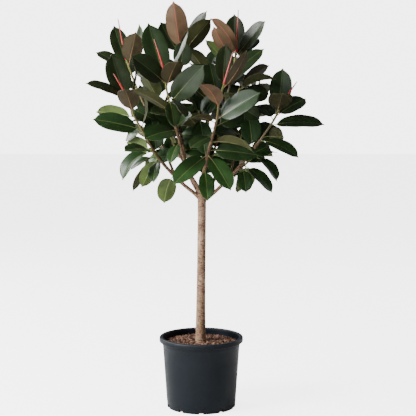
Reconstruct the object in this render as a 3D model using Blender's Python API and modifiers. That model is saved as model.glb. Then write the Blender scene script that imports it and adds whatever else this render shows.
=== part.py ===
"""A rubber plant (Ficus elastica) grown as a small standard tree, in a nursery pot.

Metres, +Z up. The origin is the middle of the pot's underside. -Y is the plant's best side.
"""
import math

import bmesh
import bpy
from mathutils import Matrix, Vector, noise
from mathutils.bvhtree import BVHTree

# The nursery pot.
POT_HEIGHT = 0.305
POT_RIM_RADIUS = 0.180
POT_NECK_RADIUS = 0.167
POT_FOOT_RADIUS = 0.147
POT_WALL = 0.003
POT_FLOOR = 0.004
RIM_BEAD = 0.020
RIM_BAND = 0.016
BAND_STEP = 0.0016
LIP_ROUND = 0.005
EDGE_ROUND = 0.002
NOTCH_COUNT = 10
NOTCH_WIDTH = 0.020
NOTCH_HEIGHT = 0.015
NOTCH_REACH = 0.030
POT_SIDES = 40

# The potting mix.
SOIL_BELOW_RIM = 0.030
SOIL_MOUND = 0.007
SOIL_BUMP = 0.003
SOIL_RINGS = 6

# Wood and green stems.
TRUNK_FOOT_RADIUS = 0.0235
TRUNK_RADIUS = 0.0178
TRUNK_DEPTH = 0.060
TRUNK_SWAY = 0.003
FLARE_REACH = 0.16
CROTCH_SWELL = 0.0016
CROTCH_REACH = 0.05
FORK_HEIGHT = 0.950
LIMB_RADIUS = 0.0090
BRANCH_RADIUS = 0.0065
SHOOT_RADIUS = 0.0042
SHOOT_TAPER = 1.15
CROWN_SCALE = 1.0

# Leaves and the red sheaths of the buds.
LEAF_SCALE = 1.0
STALK_LENGTH = 0.026
STALK_RADIUS = 0.0016
MIDRIB_RISE = 0.0006
MIDRIB_DEPTH = 0.0010
SHEATH_RADIUS = 0.0036
SHEATH_TIP_RADIUS = 0.0008
SHEATH_COLLAR = 0.004
SHEATH_BOW = 0.006
LEAF_GAP = 0.0020

GAP = 0.0003

# Half width of a blade, as a share of its greatest, at each share of its length.
BLADE_OUTLINE = (
    (0.00, 0.06),
    (0.08, 0.54),
    (0.25, 0.90),
    (0.50, 1.00),
    (0.73, 0.88),
    (0.88, 0.56),
    (0.95, 0.16),
    (1.00, 0.03),
)


# ---------------------------------------------------------------- the way the crown has grown

# Each limb, branch and green shoot: what it grows from, and its route, for a fork this high.
ROUTES_FORK = Vector((0.0, 0.0, 0.950))
LIMBS = {
    "left_limb": ("trunk", (
        (0.000, 0.000, 0.893), (-0.030, -0.008, 0.924), (-0.081, -0.030, 0.968),
        (-0.153, -0.070, 1.048), (-0.203, -0.100, 1.120))),
    "centre_left_limb": ("trunk", (
        (-0.010, -0.004, 0.930), (-0.020, -0.018, 0.960), (-0.043, -0.050, 1.002),
        (-0.073, -0.090, 1.086), (-0.105, -0.145, 1.220))),
    "centre_right_limb": ("trunk", (
        (0.009, -0.007, 0.930), (0.010, -0.020, 0.975), (0.014, -0.045, 1.031),
        (0.030, -0.095, 1.100), (0.053, -0.160, 1.191))),
    "right_limb": ("trunk", (
        (0.000, 0.000, 0.880), (0.030, 0.000, 0.906), (0.062, 0.000, 0.931),
        (0.154, -0.020, 1.027), (0.238, -0.040, 1.137))),
    "back_limb": ("trunk", (
        (0.002, 0.010, 0.930), (0.004, 0.028, 0.965), (0.012, 0.075, 1.050),
        (0.022, 0.140, 1.180))),
    "back_left_limb": ("trunk", (
        (0.000, 0.000, 0.912), (-0.022, 0.028, 0.940), (-0.060, 0.085, 1.010),
        (-0.120, 0.180, 1.150))),
    "back_right_limb": ("trunk", (
        (0.000, 0.000, 0.900), (0.030, 0.030, 0.930), (0.080, 0.090, 1.020),
        (0.150, 0.180, 1.150))),
}

BRANCHES = {
    "left_top_branch": ("left_limb", (
        (-0.110, -0.046, 1.000), (-0.135, -0.010, 1.060), (-0.175, 0.035, 1.150),
        (-0.230, 0.050, 1.270))),
    "top_branch": ("centre_left_limb", (
        (-0.066, -0.080, 1.066), (-0.076, -0.045, 1.130), (-0.088, -0.020, 1.200),
        (-0.090, -0.005, 1.290))),
    "right_top_branch": ("centre_right_limb", (
        (0.012, -0.038, 1.018), (0.042, -0.006, 1.075), (0.066, 0.006, 1.140),
        (0.092, 0.010, 1.270))),
}

SHOOTS = {
    "left_top_shoot": ("left_top_branch", (
        (-0.230, 0.050, 1.270), (-0.275, 0.055, 1.370), (-0.316, 0.050, 1.484))),
    "left_shoot": ("left_limb", (
        (-0.203, -0.100, 1.120), (-0.240, -0.115, 1.190), (-0.285, -0.120, 1.275),
        (-0.308, -0.120, 1.341))),
    "centre_left_shoot": ("centre_left_limb", (
        (-0.105, -0.145, 1.220), (-0.122, -0.175, 1.290), (-0.138, -0.205, 1.365),
        (-0.145, -0.220, 1.433))),
    "top_shoot": ("top_branch", (
        (-0.090, -0.005, 1.290), (-0.088, 0.010, 1.400), (-0.081, 0.020, 1.535))),
    "right_top_shoot": ("right_top_branch", (
        (0.092, 0.010, 1.270), (0.124, 0.005, 1.390), (0.147, 0.000, 1.514))),
    "front_shoot": ("centre_right_limb", (
        (0.053, -0.160, 1.191), (0.066, -0.200, 1.254), (0.074, -0.228, 1.315),
        (0.093, -0.250, 1.389))),
    "right_shoot": ("right_limb", (
        (0.238, -0.040, 1.137), (0.268, -0.045, 1.179), (0.305, -0.050, 1.237),
        (0.338, -0.050, 1.301))),
    "right_inner_shoot": ("right_top_branch", (
        (0.080, 0.008, 1.205), (0.122, -0.004, 1.270), (0.163, -0.020, 1.367))),
    "low_left_shoot": ("left_limb", (
        (-0.158, -0.074, 1.055), (-0.178, -0.105, 1.080), (-0.206, -0.140, 1.118))),
    "low_right_shoot": ("right_limb", (
        (0.140, -0.016, 1.012), (0.178, 0.012, 1.036), (0.232, 0.030, 1.082))),
    "inner_left_shoot": ("centre_left_limb", (
        (-0.052, -0.062, 1.026), (-0.115, -0.030, 1.130), (-0.160, 0.000, 1.260))),
    "inner_shoot": ("back_limb", (
        (0.010, 0.062, 1.028), (0.000, 0.035, 1.120), (-0.010, 0.020, 1.270))),
    "inner_right_shoot": ("right_limb", (
        (0.120, -0.012, 0.990), (0.145, 0.035, 1.080), (0.190, 0.065, 1.210))),
    "inner_top_shoot": ("back_limb", (
        (0.014, 0.085, 1.070), (0.030, 0.070, 1.200), (0.030, 0.045, 1.400))),
    "back_left_shoot": ("back_left_limb", (
        (-0.120, 0.180, 1.150), (-0.165, 0.240, 1.240), (-0.200, 0.270, 1.330))),
    "back_low_left_shoot": ("back_left_limb", (
        (-0.080, 0.118, 1.058), (-0.150, 0.150, 1.095), (-0.225, 0.190, 1.130))),
    "back_shoot": ("back_limb", (
        (0.022, 0.140, 1.180), (0.030, 0.210, 1.250), (0.035, 0.270, 1.340))),
    "back_top_shoot": ("back_limb", (
        (0.018, 0.115, 1.130), (0.025, 0.135, 1.250), (0.035, 0.170, 1.460))),
    "back_right_shoot": ("back_right_limb", (
        (0.150, 0.180, 1.150), (0.205, 0.235, 1.235), (0.245, 0.260, 1.330))),
    "back_low_right_shoot": ("back_right_limb", (
        (0.100, 0.115, 1.048), (0.165, 0.170, 1.075), (0.240, 0.205, 1.110))),
}

# Each leaf: how far along its stem it grows, where its tip is from there, its width, which
# way its upper side looks, how much it arches, how far its halves fold up, and its bow to
# the right, as its upper side is seen.
ARCH = 0.010
UPRIGHT = -0.016
FOLD = 12.0


def leaf(along, reach, width, looks, arch=ARCH, fold=FOLD, bow=0.0):
    """One leaf of the crown, as the lists below give it."""
    return {"along": along, "reach": Vector(reach), "width": width,
            "looks": Vector(looks), "arch": arch, "fold": fold, "bow": bow}


LEAVES = {
    "left_top_shoot": [
        leaf(0.86, (-0.066, 0.060, 0.174), 0.082, (0.3, -1.0, 0.2), UPRIGHT),
        leaf(0.88, (0.036, -0.080, 0.140), 0.090, (0.0, 1.0, 0.5), UPRIGHT),
        leaf(0.93, (0.044, 0.075, 0.166), 0.074, (-0.9, -0.5, 0.2), -0.030),
        leaf(0.77, (-0.142, 0.030, 0.094), 0.066, (0.3, -0.8, 0.9)),
        leaf(0.62, (0.120, -0.050, 0.100), 0.088, (0.0, -1.0, 0.4)),
        leaf(0.66, (-0.050, 0.150, 0.070), 0.080, (0.0, -0.4, 1.0)),
        leaf(0.35, (-0.120, 0.090, 0.060), 0.080, (0.2, -0.3, 1.0)),
    ],
    "left_shoot": [
        leaf(0.93, (-0.067, 0.065, 0.182), 0.104, (0.3, -1.0, 0.3), UPRIGHT),
        leaf(0.90, (0.034, 0.010, 0.160), 0.070, (-1.0, 0.0, 0.2), UPRIGHT),
        leaf(0.92, (-0.166, -0.050, 0.068), 0.082, (0.0, -0.50, 1.0)),
        leaf(0.66, (-0.028, -0.110, 0.105), 0.090, (0.0, 0.7, 0.8)),
        leaf(0.54, (-0.020, 0.030, 0.115), 0.070, (-0.8, -0.6, 0.2)),
        leaf(0.38, (0.010, 0.070, 0.122), 0.070, (1.0, 0.2, 0.0)),
        leaf(0.59, (-0.165, 0.050, 0.022), 0.074, (0.0, 1.0, 0.6)),
        leaf(0.36, (-0.196, -0.060, 0.046), 0.086, (0.0, -1.0, 0.6)),
        leaf(0.30, (-0.075, 0.080, -0.020), 0.070, (0.0, -1.0, 0.5)),
    ],
    "centre_left_shoot": [
        leaf(0.93, (-0.070, 0.090, 0.215), 0.104, (0.2, -1.0, 0.3), UPRIGHT),
        leaf(0.79, (-0.125, -0.060, 0.125), 0.096, (0.1, -1.0, 0.6)),
        leaf(0.72, (0.050, -0.120, 0.110), 0.086, (-0.2, 0.6, 0.8)),
        leaf(0.93, (0.092, 0.020, 0.182), 0.070, (-1.0, -0.25, 0.4), UPRIGHT),
        leaf(0.23, (-0.160, -0.080, 0.100), 0.078, (0.0, 0.45, 1.0)),
        leaf(0.43, (0.128, -0.100, 0.170), 0.100, (0.2, -1.0, 0.4)),
        leaf(0.52, (0.025, -0.100, -0.110), 0.062, (0.3, -0.7, 0.5)),
        leaf(0.57, (0.085, -0.130, -0.080), 0.070, (0.3, 0.2, 1.0)),
        leaf(0.12, (-0.090, -0.100, 0.030), 0.070, (0.0, -0.6, 0.8)),
    ],
    "top_shoot": [
        leaf(0.93, (-0.032, -0.060, 0.206), 0.094, (0.1, 1.0, 0.3), UPRIGHT),
        leaf(0.92, (0.106, 0.025, 0.172), 0.070, (-0.5, -0.8, 0.5), UPRIGHT, bow=-0.014),
        leaf(0.86, (0.125, -0.070, 0.150), 0.096, (-0.3, 0.8, 0.5), UPRIGHT, bow=0.014),
        leaf(0.88, (-0.088, 0.045, 0.136), 0.090, (0.4, -1.0, 0.3), UPRIGHT),
        leaf(0.62, (0.020, -0.080, 0.120), 0.080, (0.0, -1.0, 0.4)),
        leaf(0.80, (0.010, 0.150, 0.110), 0.085, (0.0, -0.5, 1.0)),
        leaf(0.55, (-0.130, 0.080, 0.070), 0.085, (0.3, -0.5, 1.0)),
        leaf(0.42, (0.130, 0.050, 0.060), 0.085, (0.0, -0.6, 1.0)),
    ],
    "right_top_shoot": [
        leaf(0.93, (-0.004, 0.065, 0.178), 0.088, (0.0, -1.0, 0.3), UPRIGHT),
        leaf(0.92, (-0.105, -0.025, 0.160), 0.070, (0.6, 0.6, 0.5), 0.006, bow=-0.028),
        leaf(0.90, (-0.090, -0.100, 0.130), 0.078, (0.4, 0.8, 0.5), UPRIGHT),
        leaf(0.93, (0.122, -0.030, 0.146), 0.076, (-0.5, -0.8, 0.4), UPRIGHT, bow=-0.014),
        leaf(0.87, (0.105, 0.080, 0.090), 0.070, (-0.2, -0.7, 0.8)),
        leaf(0.72, (-0.116, 0.030, 0.122), 0.076, (0.6, 0.6, 0.5), bow=0.014),
        leaf(0.62, (-0.060, 0.140, 0.060), 0.082, (0.0, -0.5, 1.0)),
        leaf(0.45, (0.110, 0.120, 0.030), 0.082, (0.0, -0.4, 1.0)),
    ],
    "front_shoot": [
        leaf(0.93, (0.012, 0.060, 0.172), 0.076, (0.1, -1.0, 0.2), UPRIGHT),
        leaf(0.90, (0.094, -0.060, 0.152), 0.062, (-0.5, 0.8, 0.3), UPRIGHT),
        leaf(0.90, (0.168, 0.060, 0.160), 0.074, (-0.4, -0.9, 0.4), bow=-0.006),
        leaf(0.52, (-0.054, -0.110, 0.135), 0.080, (0.3, 0.8, 0.5), bow=-0.010),
        leaf(0.54, (-0.037, 0.070, 0.180), 0.086, (0.2, -1.0, 0.2)),
        leaf(0.20, (-0.103, -0.120, 0.028), 0.070, (0.0, 0.5, 0.9)),
        leaf(0.27, (0.175, -0.060, 0.113), 0.096, (-0.2, -1.0, 0.5)),
        leaf(0.12, (0.120, 0.060, 0.050), 0.080, (0.0, -1.0, 0.3)),
    ],
    "right_shoot": [
        leaf(0.82, (0.020, 0.065, 0.178), 0.096, (0.0, -1.0, 0.3), UPRIGHT),
        leaf(0.76, (0.015, -0.140, 0.090), 0.102, (0.0, 0.55, 0.85)),
        leaf(0.68, (0.124, 0.050, 0.086), 0.086, (-0.3, -0.8, 0.6)),
        leaf(0.47, (0.222, -0.040, 0.006), 0.090, (0.0, -0.55, 0.85), 0.015),
        leaf(0.07, (0.158, -0.070, -0.066), 0.078, (0.2, -0.6, 0.8), 0.018),
        leaf(0.16, (0.090, -0.020, 0.000), 0.086, (-0.2, 1.0, 0.4)),
        leaf(0.60, (-0.060, 0.130, 0.060), 0.080, (0.0, -0.5, 1.0)),
    ],
    "right_inner_shoot": [
        leaf(0.93, (0.100, 0.070, 0.128), 0.078, (-0.5, 0.6, 0.6)),
        leaf(0.93, (0.152, -0.060, 0.048), 0.092, (0.0, 0.35, 1.0), 0.016, 24.0),
        leaf(0.80, (0.135, 0.020, 0.020), 0.080, (0.0, -1.0, 0.4)),
        leaf(0.60, (0.110, -0.050, -0.060), 0.076, (0.0, -1.0, 0.4)),
        leaf(0.55, (-0.030, -0.120, 0.060), 0.076, (0.0, -0.4, 1.0)),
    ],
    "low_left_shoot": [
        leaf(0.93, (-0.105, -0.110, 0.005), 0.076, (0.0, -0.6, 1.0)),
        leaf(0.85, (-0.122, -0.060, -0.112), 0.086, (-0.7, -0.7, 0.6), 0.034, 22.0),
        leaf(0.90, (-0.110, 0.070, 0.030), 0.074, (0.0, 1.0, 0.3)),
        leaf(0.55, (-0.105, -0.030, -0.052), 0.070, (0.0, -0.2, 1.0)),
        leaf(0.45, (-0.074, 0.060, -0.120), 0.066, (0.0, 1.0, 0.3)),
        leaf(0.35, (-0.020, -0.090, -0.088), 0.056, (-0.5, -1.0, 0.3)),
    ],
    "low_right_shoot": [
        leaf(0.93, (0.092, -0.080, -0.098), 0.076, (0.55, -0.55, 0.6), 0.018, 22.0),
        leaf(0.46, (0.118, -0.040, -0.112), 0.072, (0.4, -0.6, 0.7), 0.014),
        leaf(0.38, (0.014, -0.070, -0.102), 0.068, (0.1, -1.0, 0.4)),
        leaf(0.24, (-0.008, -0.050, -0.096), 0.048, (0.5, 0.8, 0.4)),
        leaf(0.50, (0.020, 0.090, -0.110), 0.070, (0.0, 0.9, 0.5)),
        leaf(0.90, (0.100, 0.110, 0.010), 0.074, (0.0, -0.3, 1.0)),
    ],
}


def whorl(count, start, length, width, first_lift=55.0, last_lift=-5.0, light=(0.0, 0.4)):
    """Leaves in the spiral that a shoot grows them in, the young upright ones at its tip.

    Their upper sides look up and towards the light, which comes from outside the crown.
    """
    golden_angle = 137.5
    leaves = []
    for index in range(count):
        share = index / (count - 1)
        heading = math.radians(start + golden_angle * index)
        lift = math.radians(first_lift + (last_lift - first_lift) * share)
        grown = length * (0.86 + 0.14 * math.sin(math.pi * share))
        reach = (grown * math.cos(lift) * math.cos(heading),
                 grown * math.cos(lift) * math.sin(heading),
                 grown * math.sin(lift))
        looks = (light[0] - 0.3 * math.cos(heading), light[1] - 0.3 * math.sin(heading), 0.8)
        leaves.append(leaf(0.91 - 0.65 * share, reach, width, looks))
    return leaves


LEAVES["inner_left_shoot"] = whorl(8, 250.0, 0.180, 0.088, 50.0, -8.0, (-0.2, -0.9))
LEAVES["inner_shoot"] = whorl(9, 235.0, 0.180, 0.088, 50.0, -8.0, (0.0, -0.9))
LEAVES["inner_right_shoot"] = whorl(8, 290.0, 0.180, 0.086, 50.0, -8.0, (0.2, -0.9))
LEAVES["inner_top_shoot"] = whorl(8, 260.0, 0.180, 0.088, 50.0, 0.0, (0.0, -0.9))
LEAVES["back_left_shoot"] = whorl(8, 100.0, 0.185, 0.086)
LEAVES["back_low_left_shoot"] = whorl(6, 200.0, 0.170, 0.080, 35.0, -25.0)
LEAVES["back_shoot"] = whorl(8, 60.0, 0.185, 0.088)
LEAVES["back_top_shoot"] = whorl(9, 80.0, 0.190, 0.088)
LEAVES["back_right_shoot"] = whorl(8, 20.0, 0.185, 0.086)
LEAVES["back_low_right_shoot"] = whorl(6, 330.0, 0.170, 0.080, 35.0, -25.0)

# Leaves that grow straight from the wood: their limb, then the same values.
WOOD_LEAVES = {
    "front_left_leaf": ("centre_right_limb", leaf(
        0.60, (-0.140, -0.120, -0.112), 0.092, (-0.2, -0.9, 0.6))),
    "front_low_leaf": ("centre_right_limb", leaf(
        0.36, (0.014, -0.090, -0.128), 0.068, (0.1, -1.0, 0.5))),
    "front_right_leaf": ("centre_right_limb", leaf(
        0.60, (0.094, -0.110, -0.138), 0.088, (0.35, -1.0, 0.45))),
    "front_level_leaf": ("centre_right_limb", leaf(
        0.68, (0.205, -0.020, -0.020), 0.092, (0.0, -1.0, 0.7))),
    "front_arched_leaf": ("centre_right_limb", leaf(
        0.82, (0.172, -0.100, -0.034), 0.080, (0.0, 0.6, 0.8), 0.020, 22.0)),
    "front_inner_leaf": ("centre_right_limb", leaf(
        0.92, (-0.090, -0.110, -0.040), 0.072, (0.0, -0.5, 0.85))),
    "left_hanging_leaf": ("left_limb", leaf(
        0.52, (-0.042, 0.060, -0.126), 0.080, (0.0, 1.0, 0.3), bow=-0.008)),
    "left_slender_leaf": ("left_limb", leaf(
        0.84, (-0.112, 0.040, -0.144), 0.048, (-0.5, 0.8, 0.4), 0.014)),
    "left_level_leaf": ("centre_left_limb", leaf(
        0.92, (-0.127, -0.120, -0.026), 0.094, (-0.1, -1.0, 0.8))),
    "left_short_leaf": ("centre_left_limb", leaf(
        0.76, (-0.035, -0.100, -0.080), 0.056, (-0.3, -0.6, 0.5))),
    "left_inner_leaf": ("left_top_branch", leaf(
        0.30, (0.010, 0.100, 0.095), 0.070, (0.0, -1.0, 0.4))),
    "left_back_leaf": ("left_top_branch", leaf(
        0.84, (-0.046, 0.040, 0.165), 0.086, (0.1, -1.0, 0.3), UPRIGHT)),
    "left_upper_leaf": ("top_branch", leaf(
        0.55, (-0.055, 0.010, 0.165), 0.090, (0.1, -1.0, 0.3), UPRIGHT)),
    "left_rising_leaf": ("left_limb", leaf(
        0.88, (-0.020, 0.060, 0.150), 0.086, (0.0, -1.0, 0.3))),
    "right_rising_leaf": ("right_limb", leaf(
        0.90, (-0.020, 0.050, 0.160), 0.090, (0.1, -1.0, 0.3))),
    "right_outer_leaf": ("right_limb", leaf(
        0.80, (0.092, 0.060, 0.048), 0.080, (0.0, -1.0, 0.5))),
    "right_back_leaf": ("right_limb", leaf(
        0.97, (0.062, 0.080, 0.104), 0.086, (0.0, -1.0, 0.3))),
    "centre_rising_leaf": ("centre_right_limb", leaf(
        0.50, (-0.025, 0.060, 0.165), 0.084, (0.0, -1.0, 0.3))),
}

# The red sheath round the bud at a shoot's tip: how far it reaches from there.
SHEATHS = {
    "left_top_shoot": (-0.034, 0.000, 0.170),
    "left_shoot": (-0.050, 0.000, 0.086),
    "centre_left_shoot": (-0.042, 0.000, 0.132),
    "right_top_shoot": (0.008, 0.000, 0.176),
    "front_shoot": (0.036, 0.000, 0.126),
    "right_shoot": (0.060, 0.000, 0.092),
    "back_left_shoot": (-0.020, 0.030, 0.120),
    "back_right_shoot": (0.020, 0.030, 0.110),
}


# ---------------------------------------------------------------------------- scene and looks

def clear_scene():
    for item in list(bpy.data.objects):
        bpy.data.objects.remove(item, do_unlink=True)


def new_collection(name):
    collection = bpy.data.collections.new(name)
    bpy.context.scene.collection.children.link(collection)
    return collection


def material(name, colour, roughness):
    made = bpy.data.materials.new(name)
    made.use_nodes = True
    surface = made.node_tree.nodes["Principled BSDF"]
    surface.inputs["Base Color"].default_value = (*colour, 1.0)
    surface.inputs["Roughness"].default_value = roughness
    surface.inputs["Metallic"].default_value = 0.0
    return made


clear_scene()
PARTS = new_collection("rubber_plant")
CUTTERS = new_collection("rubber_plant_cutters")
POT_PLASTIC = material("pot_plastic", (0.035, 0.042, 0.050), 0.50)
BARK_MIX = material("bark_mix", (0.200, 0.105, 0.060), 0.90)
BARK = material("bark", (0.330, 0.200, 0.135), 0.80)
LEAF_GREEN = material("leaf_green", (0.020, 0.055, 0.025), 0.30)
SHEATH_RED = material("sheath_red", (0.520, 0.045, 0.045), 0.45)


# ------------------------------------------------------------------------------- small tools

def add_object(name, mesh, look, collection=PARTS):
    made = bpy.data.objects.new(name, mesh)
    mesh.materials.clear()
    mesh.materials.append(look)
    collection.objects.link(made)
    return made


def smooth_round(mesh, sharp_degrees=50.0):
    mesh.shade_smooth()
    mesh.set_sharp_from_angle(angle=math.radians(sharp_degrees))


def make_cutter(made):
    made.hide_render = True
    made.display_type = "WIRE"
    CUTTERS.objects.link(made)
    for collection in list(made.users_collection):
        if collection is not CUTTERS:
            collection.objects.unlink(made)


def bake(made):
    """Keep what the object's modifiers make as its own mesh."""
    bpy.context.view_layer.update()
    depsgraph = bpy.context.evaluated_depsgraph_get()
    baked = bpy.data.meshes.new_from_object(made.evaluated_get(depsgraph))
    baked.name = made.name
    made.modifiers.clear()
    made.data = baked


def weld(mesh):
    """Merge the points that lie on one another, and drop what that leaves flat."""
    shape = bmesh.new()
    shape.from_mesh(mesh)
    bmesh.ops.remove_doubles(shape, verts=shape.verts, dist=1e-6)
    bmesh.ops.dissolve_degenerate(shape, edges=shape.edges, dist=1e-7)
    bmesh.ops.recalc_face_normals(shape, faces=shape.faces)
    shape.to_mesh(mesh)
    shape.free()


def combine(made, others, operation):
    """Join the others to the object, or cut them from it, and remove them."""
    for other in others:
        change = made.modifiers.new(operation.lower(), "BOOLEAN")
        change.operation = operation
        change.solver = "EXACT"
        change.object = other
    bake(made)
    for other in others:
        bpy.data.objects.remove(other, do_unlink=True)


def smooth_route(points, pieces_per_span):
    """Points on a smooth curve through the given ones (Catmull-Rom)."""
    ends = [points[0] * 2 - points[1]] + points + [points[-1] * 2 - points[-2]]
    route = []
    for index in range(1, len(ends) - 2):
        before, here, there, after = ends[index - 1:index + 3]
        for step in range(pieces_per_span):
            t = step / pieces_per_span
            route.append(0.5 * (
                2 * here + (there - before) * t
                + (2 * before - 5 * here + 4 * there - after) * t ** 2
                + (3 * here - before - 3 * there + after) * t ** 3))
    route.append(points[-1].copy())
    return route


def tube(name, route, radii, roundness, look, collection=PARTS):
    """A closed round stem along the route, as a mesh."""
    curve = bpy.data.curves.new(name, "CURVE")
    curve.dimensions = "3D"
    curve.bevel_depth = 1.0
    curve.bevel_resolution = roundness
    curve.render_resolution_u = 0
    curve.use_fill_caps = True
    spline = curve.splines.new("POLY")
    spline.points.add(len(route) - 1)
    for point, place, radius in zip(spline.points, route, radii):
        point.co = (*place, 1.0)
        point.radius = radius
    guide = bpy.data.objects.new(name + "_guide", curve)
    collection.objects.link(guide)
    bpy.context.view_layer.update()
    depsgraph = bpy.context.evaluated_depsgraph_get()
    mesh = bpy.data.meshes.new_from_object(guide.evaluated_get(depsgraph))
    bpy.data.objects.remove(guide, do_unlink=True)
    weld(mesh)
    smooth_round(mesh)
    return add_object(name, mesh, look, collection)


def ease(first, last, count):
    """Even steps from the first value to the last."""
    return [first + (last - first) * index / (count - 1) for index in range(count)]


# ----------------------------------------------------------------------------------- the pot

def pot_outer_radius(height):
    """The tapered wall's outer radius at a height."""
    return POT_FOOT_RADIUS + (POT_NECK_RADIUS - POT_FOOT_RADIUS) * height / POT_HEIGHT


def pot_inner_radius(height):
    return pot_outer_radius(height) - POT_WALL


def turned(name, profile, steps, look):
    """A profile in X and Z turned about the Z axis."""
    mesh = bpy.data.meshes.new(name)
    points = [(radius, 0.0, height) for radius, height in profile]
    mesh.from_pydata(points, [(i, i + 1) for i in range(len(points) - 1)], [])
    made = add_object(name, mesh, look)
    screw = made.modifiers.new("turn", "SCREW")
    screw.steps = steps
    screw.render_steps = steps
    screw.use_merge_vertices = True
    screw.merge_threshold = 1e-5
    bake(made)
    weld(made.data)
    return made


def make_pot():
    """A thin tapered shell with a rolled rim, a band under it and drainage notches."""
    lip = POT_RIM_RADIUS
    under_rim = POT_HEIGHT - RIM_BEAD
    under_band = under_rim - RIM_BAND
    mouth = pot_inner_radius(POT_HEIGHT)
    profile = [
        (0.0, POT_FLOOR),
        (pot_inner_radius(POT_FLOOR), POT_FLOOR),
        (mouth, POT_HEIGHT - EDGE_ROUND),
        (mouth + EDGE_ROUND, POT_HEIGHT),
        (lip - LIP_ROUND, POT_HEIGHT),
        (lip - LIP_ROUND * 0.2, POT_HEIGHT - LIP_ROUND * 0.8),
        (lip, POT_HEIGHT - LIP_ROUND * 1.8),
        (lip - EDGE_ROUND * 0.5, under_rim + EDGE_ROUND * 0.5),
        (lip - EDGE_ROUND * 1.5, under_rim),
        (pot_outer_radius(under_rim) + BAND_STEP, under_rim),
        (pot_outer_radius(under_band) + BAND_STEP, under_band),
        (pot_outer_radius(under_band), under_band - EDGE_ROUND),
        (pot_outer_radius(EDGE_ROUND), EDGE_ROUND),
        (POT_FOOT_RADIUS - EDGE_ROUND, 0.0),
        (0.0, 0.0),
    ]
    pot = turned("nursery_pot", profile, POT_SIDES, POT_PLASTIC)
    half_side = math.pi / POT_SIDES
    pot.data.transform(Matrix.Rotation(half_side, 4, "Z"))
    notches = []
    for index in range(NOTCH_COUNT):
        angle = math.radians(-90.0) + 2 * math.pi * index / NOTCH_COUNT
        mesh = bpy.data.meshes.new("notch")
        shape = bmesh.new()
        bmesh.ops.create_cone(
            shape, cap_ends=True, segments=16, radius1=NOTCH_WIDTH / 2,
            radius2=NOTCH_WIDTH / 2, depth=NOTCH_REACH,
            matrix=Matrix.Rotation(math.radians(90.0), 4, "Y"))
        shape.to_mesh(mesh)
        shape.free()
        notch = add_object("notch", mesh, POT_PLASTIC)
        notch.rotation_euler = (0.0, 0.0, angle)
        notch.location = (
            POT_FOOT_RADIUS * math.cos(angle), POT_FOOT_RADIUS * math.sin(angle),
            NOTCH_HEIGHT - NOTCH_WIDTH / 2)
        make_cutter(notch)
        notches.append(notch)
    combine(pot, notches, "DIFFERENCE")
    smooth_round(pot.data)
    return pot


# ---------------------------------------------------------------------------------- the soil

SOIL_TOP = POT_HEIGHT - SOIL_BELOW_RIM


def soil_height(x, y):
    """The top of the potting mix: a low mound of bark pieces."""
    edge = pot_inner_radius(SOIL_TOP) - GAP
    share = min(1.0, math.hypot(x, y) / edge)
    bump = noise.noise(Vector((x, y, 0.0)) / 0.022)
    return SOIL_TOP + SOIL_MOUND * (1.0 - share ** 2) + SOIL_BUMP * bump


def make_soil(trunk_route, trunk_radii):
    """The root ball and its loose bark mulch, filling the pot from its floor."""
    floor = POT_FLOOR + GAP
    shape = bmesh.new()
    sides = range(POT_SIDES)
    angles = [2 * math.pi * (side + 0.5) / POT_SIDES for side in sides]
    loops = []
    bottom_edge = pot_inner_radius(floor) - GAP
    top_edge = pot_inner_radius(SOIL_TOP - SOIL_BUMP) - GAP
    loops.append([shape.verts.new((bottom_edge * math.cos(a), bottom_edge * math.sin(a), floor))
                  for a in angles])
    for ring in range(SOIL_RINGS, 0, -1):
        radius = top_edge * ring / SOIL_RINGS
        loops.append([
            shape.verts.new((radius * math.cos(a), radius * math.sin(a),
                             soil_height(radius * math.cos(a), radius * math.sin(a))))
            for a in angles])
    for lower, upper in zip(loops, loops[1:]):
        for side in sides:
            after = (side + 1) % POT_SIDES
            shape.faces.new((lower[side], lower[after], upper[after], upper[side]))
    shape.faces.new(loops[0][::-1])
    crown = shape.verts.new((0.0, 0.0, soil_height(0.0, 0.0)))
    for side in sides:
        shape.faces.new((loops[-1][side], loops[-1][(side + 1) % POT_SIDES], crown))
    mesh = bpy.data.meshes.new("potting_mix")
    shape.to_mesh(mesh)
    shape.free()
    soil = add_object("potting_mix", mesh, BARK_MIX)
    foot = trunk_route[0] - Vector((0.0, 0.0, GAP))
    socket = tube("trunk_socket", [foot] + trunk_route,
                  [trunk_radii[0] + GAP] + [radius + GAP for radius in trunk_radii], 4, BARK)
    make_cutter(socket)
    combine(soil, [socket], "DIFFERENCE")
    return soil


# ---------------------------------------------------------------------------------- the wood

STEMS = {}


def placed(point):
    """A point of the crown, grown out from the fork by the crown's scale."""
    fork = Vector((0.0, 0.0, FORK_HEIGHT))
    return fork + (Vector(point) - ROUTES_FORK) * CROWN_SCALE


def sleeve(name):
    """A stem's shape with a small clearance all round, to cut what grows from it."""
    route, radii, roundness = STEMS[name]
    start = (route[0] - route[1]).normalized() * GAP
    end = (route[-1] - route[-2]).normalized() * GAP
    longer = [route[0] + start] + route[1:-1] + [route[-1] + end]
    made = tube(name + "_sleeve", longer, [radius + GAP for radius in radii], roundness, BARK)
    make_cutter(made)
    return made


def make_trunk():
    """One straight bare stem, swollen at its foot and where it forks."""
    foot = SOIL_TOP - TRUNK_DEPTH
    heights = ease(foot, FORK_HEIGHT, 14)
    thickening = TRUNK_FOOT_RADIUS - TRUNK_RADIUS
    route = []
    radii = []
    for height in heights:
        share = (height - foot) / (FORK_HEIGHT - foot)
        route.append(Vector((-TRUNK_SWAY * math.cos(math.pi * share), 0.0, height)))
        flare = min(1.0, math.exp(-(height - SOIL_TOP) / FLARE_REACH))
        crotch = CROTCH_SWELL * math.exp(-(FORK_HEIGHT - height) / CROTCH_REACH)
        radii.append(TRUNK_RADIUS + thickening * flare + crotch)
    STEMS["trunk"] = (route, radii, 4)
    return tube("trunk", route, radii, 4, BARK)


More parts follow.
